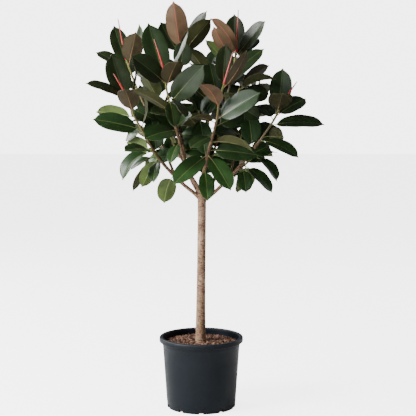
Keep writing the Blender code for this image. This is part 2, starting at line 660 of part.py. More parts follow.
def grow_stem(name, parent, points, first_radius, last_radius, roundness, look, neighbours):
    """A stem that starts in its parent, cut off where the parent and its neighbours are."""
    pieces_per_span = 2
    route = smooth_route([placed(point) for point in points], pieces_per_span)
    radii = ease(first_radius, last_radius, len(route))
    STEMS[name] = (route, radii, roundness)
    stem = tube(name, route, radii, roundness, look)
    combine(stem, [sleeve(other) for other in [parent] + neighbours], "DIFFERENCE")
    return stem


# -------------------------------------------------------------------------------- the leaves

def along_stem(name, share):
    """The point at a share of a stem's length."""
    route = STEMS[name][0]
    lengths = [(b - a).length for a, b in zip(route, route[1:])]
    wanted = share * sum(lengths)
    for index, length in enumerate(lengths):
        if wanted <= length or index == len(lengths) - 1:
            return route[index].lerp(route[index + 1], min(1.0, wanted / length))
        wanted -= length


def leaf_sections(base, values):
    """The leaf's cross sections from its stalk to its tip: left, top, right, under."""
    reach = values["reach"] * LEAF_SCALE
    tip = base + reach
    length = reach.length
    looks = values["looks"].normalized()
    upper = (looks - reach * looks.dot(reach) / length ** 2).normalized()
    across = reach.cross(upper) / length
    curve = upper * values["arch"] + across * values["bow"]
    bend = base.lerp(tip, 0.5) + curve * 2 * LEAF_SCALE
    stalk = STALK_LENGTH / length
    fold = math.radians(values["fold"])
    sections = []

    def section(t, half, rise, depth):
        centre = base * (1 - t) ** 2 + bend * 2 * t * (1 - t) + tip * t ** 2
        ahead = ((bend - base) * (1 - t) + (tip - bend) * t).normalized()
        up = (looks - ahead * looks.dot(ahead)).normalized()
        side = ahead.cross(up)
        out, lift = side * half * math.cos(fold), up * half * math.sin(fold)
        sections.append((centre - out + lift, centre + up * rise,
                         centre + out + lift, centre - up * depth))

    section(0.0, STALK_RADIUS, STALK_RADIUS, STALK_RADIUS)
    for share, width in BLADE_OUTLINE:
        t = stalk + (1 - stalk) * share
        thin = 1.0 - 0.7 * share
        half = width * values["width"] / 2 * LEAF_SCALE
        section(t, half, MIDRIB_RISE * thin, MIDRIB_DEPTH * thin)
    return sections


def make_leaf(name, sections):
    """A leaf's stalk and blade as one thin closed solid."""
    shape = bmesh.new()
    loops = [[shape.verts.new(point) for point in section] for section in sections]
    for first, second in zip(loops, loops[1:]):
        for corner in range(4):
            after = (corner + 1) % 4
            shape.faces.new((first[corner], second[corner], second[after], first[after]))
    shape.faces.new(loops[0])
    shape.faces.new(loops[-1][::-1])
    bmesh.ops.recalc_face_normals(shape, faces=shape.faces)
    mesh = bpy.data.meshes.new(name)
    shape.to_mesh(mesh)
    shape.free()
    return add_object(name, mesh, LEAF_GREEN)


# What has grown so far, as the name of its stem and its shape. A leaf's stalk is only in the
# way from this share on, and the turns and the sizes are tried in this order.
GROWN = []
FREE_STALK = 0.55
STEM_BERTH = 1.3
SIZES = (1.0, 0.88, 0.76, 0.64)
TURNS = [(0.0, 0.0)] + [
    (turn * size, lift * size)
    for size in (5.0, 10.0, 15.0, 20.0, 26.0, 34.0, 44.0, 56.0)
    for turn, lift in ((1, 0), (-1, 0), (0, 1), (0, -1), (1, 1), (-1, 1), (1, -1), (-1, -1))]


def blade_tree(sections, gap):
    """A leaf thickened by a gap on both sides, for finding what it would touch."""
    part_way = [a.lerp(b, FREE_STALK) for a, b in zip(sections[0], sections[1])]
    rows = [part_way] + sections[1:]
    points = []
    faces = []
    for offset in (gap, -gap):
        start = len(points)
        for left, top, right, under in rows:
            up = (top - under).normalized() * offset
            points += [left + up, (top + under) / 2 + up, right + up]
        for row in range(len(rows) - 1):
            first = start + 3 * row
            for column in (0, 1):
                corner = first + column
                faces.append((corner, corner + 1, corner + 4, corner + 3))
    across = 3 * len(rows)
    for row in range(len(rows) - 1):
        for edge in (3 * row, 3 * row + 2):
            faces.append((edge, edge + 3, edge + 3 + across, edge + across))
    for end in (0, across - 3):
        faces.append((end, end + 2, end + 2 + across, end + across))
    return BVHTree.FromPolygons(points, faces)


def stem_tree(route, radii):
    """A stem as a square tube, a little thicker than it is."""
    points = []
    faces = []
    for place, radius in zip(route, radii):
        points += [place + Vector(corner) * radius * STEM_BERTH
                   for corner in ((1, 0, 0), (0, 1, 0), (-1, 0, 0), (0, -1, 0))]
    for row in range(len(route) - 1):
        for corner in range(4):
            after = (corner + 1) % 4
            faces.append((4 * row + corner, 4 * row + after,
                          4 * row + 4 + after, 4 * row + 4 + corner))
    return BVHTree.FromPolygons(points, faces)


def settle(stem, values):
    """Grow a leaf past the leaves and stems already there, turning it aside if it must."""
    own, stranger = 1, 10
    base = along_stem(stem, values["along"])
    best = None
    for size in SIZES:
        for turn, lift in TURNS:
            tried = dict(values)
            reach = values["reach"] * size
            level = Vector((0.0, 0.0, 1.0)).cross(reach).normalized()
            swing = (Matrix.Rotation(math.radians(turn), 3, "Z")
                     @ Matrix.Rotation(math.radians(-lift), 3, level))
            tried["reach"] = swing @ reach
            tried["looks"] = swing @ values["looks"]
            sections = leaf_sections(base, tried)
            tree = blade_tree(sections, LEAF_GAP)
            touches = sum(own if node == stem else stranger
                          for node, other in GROWN if tree.overlap(other))
            if best is None or touches < best[0]:
                best = (touches, tree, sections)
            if touches == 0:
                break
        if best[0] == 0:
            break
    GROWN.append((stem, best[1]))
    return best[2]


def make_sheath(shoot, reach):
    """The pointed red sheath that wraps a shoot's bud."""
    route, radii, _ = STEMS[shoot]
    way = (route[-1] - route[-2]).normalized()
    start = route[-1] + way * GAP
    end = start + Vector(reach) * LEAF_SCALE
    collar = start + way * SHEATH_COLLAR
    middle = start.lerp(end, 0.5) + way * SHEATH_BOW
    points = [start] + smooth_route([collar, middle, end], 2)
    thickness = [SHEATH_RADIUS + (SHEATH_TIP_RADIUS - SHEATH_RADIUS) * (i / (len(points) - 1))
                 for i in range(len(points))]
    name = shoot.replace("shoot", "bud_sheath")
    STEMS[name] = (points, thickness, 1)
    return tube(name, points, thickness, 1, SHEATH_RED)


# -------------------------------------------------------------------------- put it all together

def build():
    thick_shoot = SHOOT_RADIUS * SHOOT_TAPER
    make_pot()
    make_trunk()
    make_soil(*STEMS["trunk"][:2])
    neighbours = []
    for name, (parent, points) in LIMBS.items():
        grow_stem(name, parent, points, LIMB_RADIUS, BRANCH_RADIUS, 2, BARK, list(neighbours))
        neighbours.append(name)
    for name, (parent, points) in BRANCHES.items():
        grow_stem(name, parent, points, BRANCH_RADIUS, thick_shoot, 2, BARK, [])
    shoots = {}
    for name, (parent, points) in SHOOTS.items():
        shoots[name] = grow_stem(
            name, parent, points, thick_shoot, SHOOT_RADIUS, 1, LEAF_GREEN, [])
    for shoot, reach in SHEATHS.items():
        make_sheath(shoot, reach)
    for name, (route, radii, _) in STEMS.items():
        GROWN.append((name, stem_tree(route, radii)))

    for name, (limb, values) in WOOD_LEAVES.items():
        made = make_leaf(name, settle(limb, values))
        combine(made, [sleeve(limb)], "DIFFERENCE")
    for name, shoot in shoots.items():
        leaves = [make_leaf("leaf", settle(name, values)) for values in LEAVES[name]]
        for grown in leaves:
            make_cutter(grown)
        combine(shoot, leaves, "UNION")


build()
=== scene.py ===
"""A potted rubber plant: the fine surfaces of a small standard tree in a nursery pot."""

import math
import random

import bmesh
import bpy
from mathutils import Matrix, Vector, noise
from mathutils.bvhtree import BVHTree


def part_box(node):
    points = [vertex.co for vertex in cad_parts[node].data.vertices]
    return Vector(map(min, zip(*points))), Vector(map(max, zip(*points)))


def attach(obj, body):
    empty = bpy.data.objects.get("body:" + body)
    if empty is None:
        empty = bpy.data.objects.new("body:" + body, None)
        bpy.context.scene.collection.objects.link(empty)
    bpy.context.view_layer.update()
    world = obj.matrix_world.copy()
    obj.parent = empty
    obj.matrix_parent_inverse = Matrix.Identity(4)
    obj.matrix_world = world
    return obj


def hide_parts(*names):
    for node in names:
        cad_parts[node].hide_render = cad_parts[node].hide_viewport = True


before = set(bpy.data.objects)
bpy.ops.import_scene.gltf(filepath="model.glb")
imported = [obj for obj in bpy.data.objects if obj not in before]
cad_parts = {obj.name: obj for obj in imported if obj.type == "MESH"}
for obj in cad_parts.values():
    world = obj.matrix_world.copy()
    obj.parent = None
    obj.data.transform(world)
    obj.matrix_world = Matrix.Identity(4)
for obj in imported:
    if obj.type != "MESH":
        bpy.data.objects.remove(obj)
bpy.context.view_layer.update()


# ------------------------------------------------------------------------ the nursery pot
# One blow-moulded shell of matte anthracite plastic, a little over 3 mm thick. Its rim is
# rolled over, a shallow band stiffens the neck, and ten arched notches drain the foot.
pot_low, pot_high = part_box("nursery_pot")
POT_HEIGHT = pot_high[2]
RIM_RADIUS = (pot_high[0] - pot_low[0]) / 2
NECK_RADIUS = 0.167
FOOT_RADIUS = 0.147
POT_WALL = 0.003
POT_FLOOR = 0.004
RIM_BEAD = 0.020
RIM_BAND = 0.016
BAND_STEP = 0.0016
NOTCH_COUNT = 10
NOTCH_WIDTH = 0.020
NOTCH_HEIGHT = 0.015
NOTCH_REACH = 0.030
POT_SIDES = 180
SEAM_TURN = 0.4
# Where the painted highlight on the rim begins below its top, and how far it takes to brighten.
RIM_HIGHLIGHT_START = POT_HEIGHT - RIM_BEAD * 0.55
RIM_HIGHLIGHT_FADE = 0.010


def new_finish(name, colour, roughness, **sockets):
    """A material with one Principled shader, and its node tree."""
    made = bpy.data.materials.new(name)
    made.use_nodes = True
    surface = made.node_tree.nodes["Principled BSDF"]
    surface.inputs["Base Color"].default_value = (*colour, 1.0)
    surface.inputs["Roughness"].default_value = roughness
    for socket, value in sockets.items():
        surface.inputs[socket.replace("_", " ")].default_value = value
    return made, made.node_tree, surface


def node(tree, kind, sockets=None, **settings):
    """Add a node, set it up, and fill or link its sockets."""
    made = tree.nodes.new("ShaderNode" + kind)
    for setting, value in settings.items():
        setattr(made, setting, value)
    for socket, value in (sockets or {}).items():
        if isinstance(value, bpy.types.NodeSocket):
            tree.links.new(value, made.inputs[socket])
        else:
            made.inputs[socket].default_value = value
    return made


def sum_of(tree, operation, first, second=0.0, third=0.0):
    """One step of arithmetic on sockets or numbers."""
    return node(tree, "Math", {0: first, 1: second, 2: third}, operation=operation).outputs[0]


def ramp(tree, value, stops):
    """A colour ramp through the stops, each a place and a colour or a grey."""
    made = node(tree, "ValToRGB", {0: value})
    elements = made.color_ramp.elements
    while len(elements) < len(stops):
        elements.new(0.5)
    for element, (place, colour) in zip(elements, stops):
        element.position = place
        if isinstance(colour, float):
            colour = (colour, colour, colour)
        element.color = (*colour, 1.0)
    return made.outputs[0]


def mixed(tree, share, first, second, blend="MIX"):
    """Mix two colours by a share."""
    made = node(tree, "Mix", data_type="RGBA", blend_type=blend)
    for index, value in ((0, share), (6, first), (7, second)):
        if isinstance(value, bpy.types.NodeSocket):
            tree.links.new(value, made.inputs[index])
        elif index == 0:
            made.inputs[index].default_value = value
        else:
            made.inputs[index].default_value = (*value, 1.0)
    return made.outputs[2]


def grain(tree, scale, detail=3.0, stretch=(1.0, 1.0, 1.0), roughness=0.5):
    """Noise that stays with the object, so many grains to the metre, stretched on its axes."""
    place = node(tree, "TexCoord").outputs["Object"]
    spread = node(tree, "Mapping", {"Vector": place, "Scale": stretch})
    return node(tree, "TexNoise", {
        "Vector": spread.outputs[0], "Scale": scale, "Detail": detail,
        "Roughness": roughness}).outputs["Fac"]


def relief(tree, surface, height, depth, under=None):
    """Raise or sink the surface by a height, in metres of depth."""
    sockets = {"Height": height, "Distance": depth, "Strength": 1.0}
    if under is not None:
        sockets["Normal"] = under
    made = node(tree, "Bump", sockets)
    tree.links.new(made.outputs[0], surface.inputs["Normal"])
    return made.outputs[0]


def pot_plastic():
    made, tree, surface = new_finish(
        "pot_plastic", (0.004, 0.007, 0.011), 0.40, Specular_IOR_Level=0.20)
    cloud = grain(tree, 9.0, 4.0)
    tint = ramp(tree, cloud, ((0.35, (0.0032, 0.0060, 0.0095)), (0.70, (0.0048, 0.0082, 0.0125))))
    fleck = grain(tree, 900.0, 2.0)
    dust = ramp(tree, fleck, ((0.62, 0.0), (0.74, 0.30)))
    colour = mixed(tree, dust, tint, (0.030, 0.036, 0.042))
    # The rim is painted lighter towards its top: a painted highlight along the rolled lip.
    height = node(tree, "SeparateXYZ", {0: node(tree, "TexCoord").outputs["Object"]}).outputs["Z"]
    rim_highlight_rise = sum_of(tree, "MULTIPLY_ADD", height, 1 / RIM_HIGHLIGHT_FADE, -RIM_HIGHLIGHT_START / RIM_HIGHLIGHT_FADE)
    rim_highlight = ramp(tree, rim_highlight_rise, ((0.0, 0.0), (1.0, 0.75)))
    colour = mixed(tree, rim_highlight, colour, (0.026, 0.031, 0.037))
    tree.links.new(colour, surface.inputs["Base Color"])
    wear = ramp(tree, grain(tree, 40.0, 5.0), ((0.30, 0.36), (0.75, 0.44)))
    tree.links.new(wear, surface.inputs["Roughness"])
    relief(tree, surface, grain(tree, 1400.0, 2.0), 0.00008)
    return made


def outer_radius(height):
    """The tapered wall's outer radius at a height."""
    return FOOT_RADIUS + (NECK_RADIUS - FOOT_RADIUS) * height / POT_HEIGHT


def arc(centre_radius, centre_height, size, first, last, steps):
    """Points on an arc of a profile, from the first angle to the last, in degrees."""
    points = []
    for step in range(steps + 1):
        angle = math.radians(first + (last - first) * step / steps)
        points.append((centre_radius + size * math.cos(angle),
                       centre_height + size * math.sin(angle)))
    return points


def pot_profile():
    """From the middle of the floor inside, up and over the rim, to the middle below."""
    top = POT_HEIGHT
    mouth = NECK_RADIUS - POT_WALL
    under_rim = top - RIM_BEAD
    under_band = under_rim - RIM_BAND
    band = BAND_STEP
    profile = [(0.0, POT_FLOOR), (outer_radius(POT_FLOOR) - POT_WALL - 0.006, POT_FLOOR)]
    profile += arc(outer_radius(POT_FLOOR) - POT_WALL - 0.004, POT_FLOOR + 0.004, 0.004,
                   -70.0, -10.0, 4)
    profile += [(outer_radius(0.15) - POT_WALL, 0.15), (mouth, top - 0.010)]
    profile += arc(mouth + 0.0030, top - 0.0030, 0.0030, 180.0, 90.0, 5)
    profile += arc(RIM_RADIUS - 0.0055, top - 0.0055, 0.0055, 90.0, 0.0, 6)
    profile += arc(RIM_RADIUS - 0.0020, under_rim + 0.0020, 0.0020, 0.0, -90.0, 5)
    profile += arc(outer_radius(under_rim) + band + 0.0012, under_rim - 0.0012, 0.0012,
                   90.0, 180.0, 3)
    profile += [(outer_radius(under_band) + band, under_band + 0.0012),
                (outer_radius(under_band) + band * 0.7, under_band),
                (outer_radius(under_band), under_band - 0.0018)]
    profile += [(outer_radius(height), height) for height in (0.20, 0.13, 0.06, 0.024)]
    profile += [(outer_radius(0.022) - 0.0005, 0.022), (outer_radius(0.020) - 0.0005, 0.020),
                (FOOT_RADIUS, 0.0045)]
    profile += arc(FOOT_RADIUS - 0.0020, 0.0020, 0.0020, 0.0, -90.0, 4)
    profile.append((0.0, 0.0))
    return profile


def finish_piece(piece, nodes, look):
    """Say what the piece is: its finish, and the CAD nodes it stands for."""
    if not piece.data.materials:
        piece.data.materials.append(look)
    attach(piece, "root")
    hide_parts(*nodes)


def new_piece(name, mesh):
    piece = bpy.data.objects.new(name, mesh)
    bpy.context.scene.collection.objects.link(piece)
    return piece


def keep_result(piece):
    """Make what the piece's modifiers show its own mesh."""
    bpy.context.view_layer.update()
    depsgraph = bpy.context.evaluated_depsgraph_get()
    result = bpy.data.meshes.new_from_object(piece.evaluated_get(depsgraph))
    piece.modifiers.clear()
    piece.data = result


def turned_mesh(name, profile, sides):
    """A closed shell: the profile turned about the Z axis, its two ends on the axis."""
    shape = bmesh.new()
    loops = []
    for radius, height in profile[1:-1]:
        turns = [2 * math.pi * (side + SEAM_TURN) / sides for side in range(sides)]
        loops.append([shape.verts.new((radius * math.cos(turn), radius * math.sin(turn), height))
                      for turn in turns])
    for upper, lower in zip(loops, loops[1:]):
        for side in range(sides):
            after = (side + 1) % sides
            shape.faces.new((upper[side], upper[after], lower[after], lower[side]))
    for centre, loop in ((profile[0], loops[0]), (profile[-1], loops[-1])):
        middle = shape.verts.new((0.0, 0.0, centre[1]))
        for side in range(sides):
            shape.faces.new((loop[side], loop[(side + 1) % sides], middle))
    bmesh.ops.recalc_face_normals(shape, faces=shape.faces)
    mesh = bpy.data.meshes.new(name)
    shape.to_mesh(mesh)
    shape.free()
    return mesh


def cut_notches(pot):
    """Ten arched openings through the wall and the edge of the floor."""
    shape = bmesh.new()
    for index in range(NOTCH_COUNT):
        angle = math.radians(-90.0) + 2 * math.pi * index / NOTCH_COUNT
        place = (Matrix.Rotation(angle, 4, "Z")
                 @ Matrix.Translation((FOOT_RADIUS, 0.0, NOTCH_HEIGHT - NOTCH_WIDTH / 2))
                 @ Matrix.Rotation(math.radians(90.0), 4, "Y"))
        bmesh.ops.create_cone(shape, cap_ends=True, segments=40, radius1=NOTCH_WIDTH / 2,
                              radius2=NOTCH_WIDTH / 2, depth=NOTCH_REACH, matrix=place)
    mesh = bpy.data.meshes.new("notch_tool")
    shape.to_mesh(mesh)
    shape.free()
    tool = new_piece("notch_tool", mesh)
    cut = pot.modifiers.new("notches", "BOOLEAN")
    cut.operation = "DIFFERENCE"
    cut.solver = "EXACT"
    cut.object = tool
    keep_result(pot)
    bpy.data.objects.remove(tool, do_unlink=True)


nursery_pot = new_piece("pot_shell", turned_mesh("pot_shell", pot_profile(), POT_SIDES))
cut_notches(nursery_pot)
nursery_pot.data.shade_smooth()
nursery_pot.data.set_sharp_from_angle(angle=math.radians(35.0))
finish_piece(nursery_pot, ["nursery_pot"], pot_plastic())


# ------------------------------------------------------- the potting mix and its bark mulch
# Peat-based mix fills the pot to 30 mm below the rim, and a loose layer of rust-brown bark
# chips, 8 to 20 mm long, lies on it. It is slightly heaped round the trunk.
SOIL_BELOW_RIM = 0.030
SOIL_TOP = POT_HEIGHT - SOIL_BELOW_RIM
SOIL_MOUND = 0.007
SOIL_BUMP = 0.003
SOIL_GAP = 0.0003
MIX_FOOT_RADIUS = 0.1405
CHIP_COUNT = 620
GOLDEN_ANGLE = 137.508


def soil_height(x, y):
    """The top of the potting mix: a low mound."""
    edge = outer_radius(SOIL_TOP) - POT_WALL - SOIL_GAP
    share = min(1.0, math.hypot(x, y) / edge)
    bump = noise.noise(Vector((x, y, 0.0)) / 0.022)
    return SOIL_TOP + SOIL_MOUND * (1.0 - share ** 2) + SOIL_BUMP * bump


def mix_finish():
    made, tree, surface = new_finish("peat_mix", (0.060, 0.032, 0.020), 0.95)
    crumb = grain(tree, 260.0, 4.0)
    colour = ramp(tree, crumb, ((0.35, (0.030, 0.016, 0.010)), (0.66, (0.150, 0.080, 0.048))))
    tree.links.new(colour, surface.inputs["Base Color"])
    relief(tree, surface, crumb, 0.0030)
    return made


def bark_chip_finish():
    """Each chip has its own brown, with darker cork and paler fibre along it."""
    made, tree, surface = new_finish("bark_chips", (0.240, 0.120, 0.070), 0.85)
    own = node(tree, "Attribute", attribute_name="chip_tone").outputs["Fac"]
    brown = ramp(tree, own, ((0.00, (0.035, 0.016, 0.010)), (0.30, (0.105, 0.045, 0.026)),
                             (0.65, (0.190, 0.085, 0.048)), (1.00, (0.360, 0.205, 0.130))))
    fibre = ramp(tree, grain(tree, 300.0, 4.0, (1.0, 1.0, 3.0)), ((0.30, 0.45), (0.70, 1.15)))
    colour = mixed(tree, 1.0, brown, fibre, "MULTIPLY")
    tree.links.new(colour, surface.inputs["Base Color"])
    relief(tree, surface, grain(tree, 420.0, 3.0), 0.0012)
    return made


def make_mix():
    rings, sides = 26, 96
    shape = bmesh.new()
    edge = outer_radius(SOIL_TOP) - POT_WALL - 2 * SOIL_GAP
    floor = POT_FLOOR + 2 * SOIL_GAP
    loops = [[shape.verts.new((MIX_FOOT_RADIUS * math.cos(2 * math.pi * side / sides),
                               MIX_FOOT_RADIUS * math.sin(2 * math.pi * side / sides), floor))
              for side in range(sides)]]
    for ring in range(rings, 0, -1):
        loop = []
        for side in range(sides):
            angle = 2 * math.pi * side / sides
            x = edge * ring / rings * math.cos(angle)
            y = edge * ring / rings * math.sin(angle)
            lump = 0.0014 * noise.noise(Vector((x, y, 3.0)) / 0.006)
            loop.append(shape.verts.new((x, y, soil_height(x, y) + lump)))
        loops.append(loop)
    for lower, upper in zip(loops, loops[1:]):
        for side in range(sides):
            after = (side + 1) % sides
            shape.faces.new((lower[side], lower[after], upper[after], upper[side]))
    shape.faces.new(loops[0][::-1])
    middle = shape.verts.new((0.0, 0.0, soil_height(0.0, 0.0)))
    for side in range(sides):
        shape.faces.new((loops[-1][side], loops[-1][(side + 1) % sides], middle))
    mesh = bpy.data.meshes.new("peat_mix")
    shape.to_mesh(mesh)
    shape.free()
    mesh.shade_smooth()
    return new_piece("peat_mix", mesh)


def make_chips():
    """Bark chips strewn in a spiral, so that they cover the mix evenly, then tumbled."""
    draw = random.Random(7)
    shape = bmesh.new()
    tones = []
    edge = outer_radius(SOIL_TOP) - POT_WALL - 0.009
    trunk_foot = 0.027
    for index in range(CHIP_COUNT):
        radius = math.sqrt(trunk_foot ** 2
                           + (edge ** 2 - trunk_foot ** 2) * (index + 0.5) / CHIP_COUNT)
        angle = math.radians(GOLDEN_ANGLE) * index
        x = radius * math.cos(angle) + draw.uniform(-0.003, 0.003)
        y = radius * math.sin(angle) + draw.uniform(-0.003, 0.003)
        size = Vector((draw.uniform(0.008, 0.020), draw.uniform(0.005, 0.010),
                       draw.uniform(0.0025, 0.0055)))
        lift = draw.uniform(0.0005, 0.0040)
        tumble = (Matrix.Rotation(draw.uniform(0.0, 2 * math.pi), 4, "Z")
                  @ Matrix.Rotation(draw.gauss(0.0, 0.35), 4, "X")
                  @ Matrix.Rotation(draw.gauss(0.0, 0.35), 4, "Y"))
        place = Matrix.Translation((x, y, soil_height(x, y) + lift)) @ tumble
        chip = bmesh.ops.create_cube(shape, size=1.0)["verts"]
        for corner in chip:
            shrink = 1.0 - 0.35 * draw.random()
            corner.co = Vector([a * b * shrink for a, b in zip(corner.co, size)])
        bmesh.ops.transform(shape, matrix=place, verts=chip)
        edges = list({line for corner in chip for line in corner.link_edges})
        bmesh.ops.bevel(shape, geom=edges, offset=0.0006, segments=1, affect="EDGES")
        tones += [draw.random()] * (len(shape.verts) - len(tones))
    mesh = bpy.data.meshes.new("bark_mulch")
    shape.to_mesh(mesh)
    shape.free()
    add_values(mesh, "chip_tone", tones)
    return new_piece("bark_mulch", mesh)


def add_values(mesh, name, values):
    """One number for each point of a mesh, for its material to read."""
    made = mesh.attributes.new(name, "FLOAT", "POINT")
    made.data.foreach_set("value", values)


finish_piece(make_mix(), ["potting_mix"], mix_finish())
finish_piece(make_chips(), ["potting_mix"], bark_chip_finish())


# ----------------------------------------------------------------- the trunk and its limbs
# The bare trunk forks at its top into limbs and lesser branches. The wood is one piece: the
# crotches are swollen, and faint rings mark where leaves once grew. Its bark is thin, tan
# to pinkish brown, finely cracked along the stem and dotted with pores.
TRUNK_FOOT_RADIUS = 0.0235
TRUNK_RADIUS = 0.0178
TRUNK_DEPTH = 0.060
TRUNK_SWAY = 0.003
FLARE_REACH = 0.16
CROTCH_SWELL = 0.0016
CROTCH_REACH = 0.05
FORK_HEIGHT = 0.950
# Where the darker bark above the fork begins, partly painted shade under the crown, and how far it
# fades in.
LIMB_START = 0.9375
LIMB_FADE = 0.125
LIMB_RADIUS = 0.0090
BRANCH_RADIUS = 0.0065
SHOOT_RADIUS = 0.0042
SHOOT_TAPER = 1.15

# Every stem by name, as its route and its radii. A limb or a branch is given as the stem it
# starts from and the points it runs through.
STEMS = {}
LIMBS = {
    "left_limb": ("trunk", (
        (0.000, 0.000, 0.893), (-0.030, -0.008, 0.924), (-0.081, -0.030, 0.968),
        (-0.153, -0.070, 1.048), (-0.203, -0.100, 1.120))),
    "centre_left_limb": ("trunk", (
        (-0.010, -0.004, 0.930), (-0.020, -0.018, 0.960), (-0.043, -0.050, 1.002),
        (-0.073, -0.090, 1.086), (-0.105, -0.145, 1.220))),
    "centre_right_limb": ("trunk", (
        (0.009, -0.007, 0.930), (0.010, -0.020, 0.975), (0.014, -0.045, 1.031),
        (0.030, -0.095, 1.100), (0.053, -0.160, 1.191))),
    "right_limb": ("trunk", (
        (0.000, 0.000, 0.880), (0.030, 0.000, 0.906), (0.062, 0.000, 0.931),
        (0.154, -0.020, 1.027), (0.238, -0.040, 1.137))),
    "back_limb": ("trunk", (
        (0.002, 0.010, 0.930), (0.004, 0.028, 0.965), (0.012, 0.075, 1.050),
        (0.022, 0.140, 1.180))),
    "back_left_limb": ("trunk", (
        (0.000, 0.000, 0.912), (-0.022, 0.028, 0.940), (-0.060, 0.085, 1.010),
        (-0.120, 0.180, 1.150))),
    "back_right_limb": ("trunk", (
        (0.000, 0.000, 0.900), (0.030, 0.030, 0.930), (0.080, 0.090, 1.020),
        (0.150, 0.180, 1.150))),
}

BRANCHES = {
    "left_top_branch": ("left_limb", (
        (-0.110, -0.046, 1.000), (-0.135, -0.010, 1.060), (-0.175, 0.035, 1.150),
        (-0.230, 0.050, 1.270))),
    "top_branch": ("centre_left_limb", (
        (-0.066, -0.080, 1.066), (-0.076, -0.045, 1.130), (-0.088, -0.020, 1.200),
        (-0.090, -0.005, 1.290))),
    "right_top_branch": ("centre_right_limb", (
        (0.012, -0.038, 1.018), (0.042, -0.006, 1.075), (0.066, 0.006, 1.140),
        (0.092, 0.010, 1.270))),
}


def smooth_route(points, pieces_per_span):
    """Points on a smooth curve through the given ones (Catmull-Rom)."""
    ends = [points[0] * 2 - points[1]] + points + [points[-1] * 2 - points[-2]]
    route = []
    for index in range(1, len(ends) - 2):
        before, here, there, after = ends[index - 1:index + 3]
        for step in range(pieces_per_span):
            t = step / pieces_per_span
            route.append(0.5 * (
                2 * here + (there - before) * t
                + (2 * before - 5 * here + 4 * there - after) * t ** 2
                + (3 * here - before - 3 * there + after) * t ** 3))
    route.append(points[-1].copy())
    return route


def ease(first, last, count):
    """Even steps from the first value to the last."""
    return [first + (last - first) * index / (count - 1) for index in range(count)]


def trunk_route():
    """The trunk's slight sway, and its thickness from the swollen foot to the fork."""
    foot = SOIL_TOP - TRUNK_DEPTH
    route = []
    radii = []
    for height in ease(foot, FORK_HEIGHT, 14):
        share = (height - foot) / (FORK_HEIGHT - foot)
        route.append(Vector((-TRUNK_SWAY * math.cos(math.pi * share), 0.0, height)))
        flare = math.exp(-(height - SOIL_TOP) / FLARE_REACH)
        crotch = CROTCH_SWELL * math.exp(-(FORK_HEIGHT - height) / CROTCH_REACH)
        radii.append(TRUNK_RADIUS + (TRUNK_FOOT_RADIUS - TRUNK_RADIUS) * min(1.0, flare) + crotch)
    return route, radii


def set_stem(name, points, first_radius, last_radius):
    """Keep a stem's route and its thickness along it."""
    route = smooth_route([Vector(point) for point in points], 2)
    STEMS[name] = (route, ease(first_radius, last_radius, len(route)))


def fine_stem(name, step):
    """A stem's route in short even steps, with its radius at each."""
    route, radii = STEMS[name]
    smooth = smooth_route(route, 6)
    thick = []
    for index in range(len(radii) - 1):
        thick += [radii[index] + (radii[index + 1] - radii[index]) * k / 6 for k in range(6)]
    thick.append(radii[-1])
    places = [smooth[0]]
    sizes = [thick[0]]
    for index in range(1, len(smooth)):
        if (smooth[index] - places[-1]).length >= step or index == len(smooth) - 1:
            places.append(smooth[index])
            sizes.append(thick[index])
    return places, sizes


def ring_loft(shape, centres, radii, sides):
    """A closed round body along the centres, its rings square to the way it runs."""
    loops = []
    side_way = None
    for index, (centre, radius) in enumerate(zip(centres, radii)):
        before = centres[max(0, index - 1)]
        after = centres[min(len(centres) - 1, index + 1)]
        ahead = (after - before).normalized()
        if side_way is None:
            side_way = ahead.orthogonal().normalized()
        side_way = (side_way - ahead * side_way.dot(ahead)).normalized()
        other_way = ahead.cross(side_way)
        loops.append([
            shape.verts.new(centre
                            + side_way * radius * math.cos(2 * math.pi * k / sides)
                            + other_way * radius * math.sin(2 * math.pi * k / sides))
            for k in range(sides)])
    for lower, upper in zip(loops, loops[1:]):
        for k in range(sides):
            shape.faces.new((lower[k], lower[(k + 1) % sides],
                             upper[(k + 1) % sides], upper[k]))
    shape.faces.new(loops[0][::-1])
    shape.faces.new(loops[-1])
    return loops


def ringed(places, radii, draw, spacing, height):
    """Add the low rings that fallen leaves left on a stem."""
    swollen = list(radii)
    travelled = 0.0
    rings = []
    length = sum((b - a).length for a, b in zip(places, places[1:]))
    while travelled < length:
        travelled += draw.uniform(0.6, 1.4) * spacing
        rings.append((travelled, draw.uniform(0.4, 1.0) * height))
    so_far = 0.0
    for index in range(len(places)):
        if index:
            so_far += (places[index] - places[index - 1]).length
        for ring, size in rings:
            swollen[index] += size * math.exp(-((so_far - ring) / 0.0030) ** 2)
    return swollen


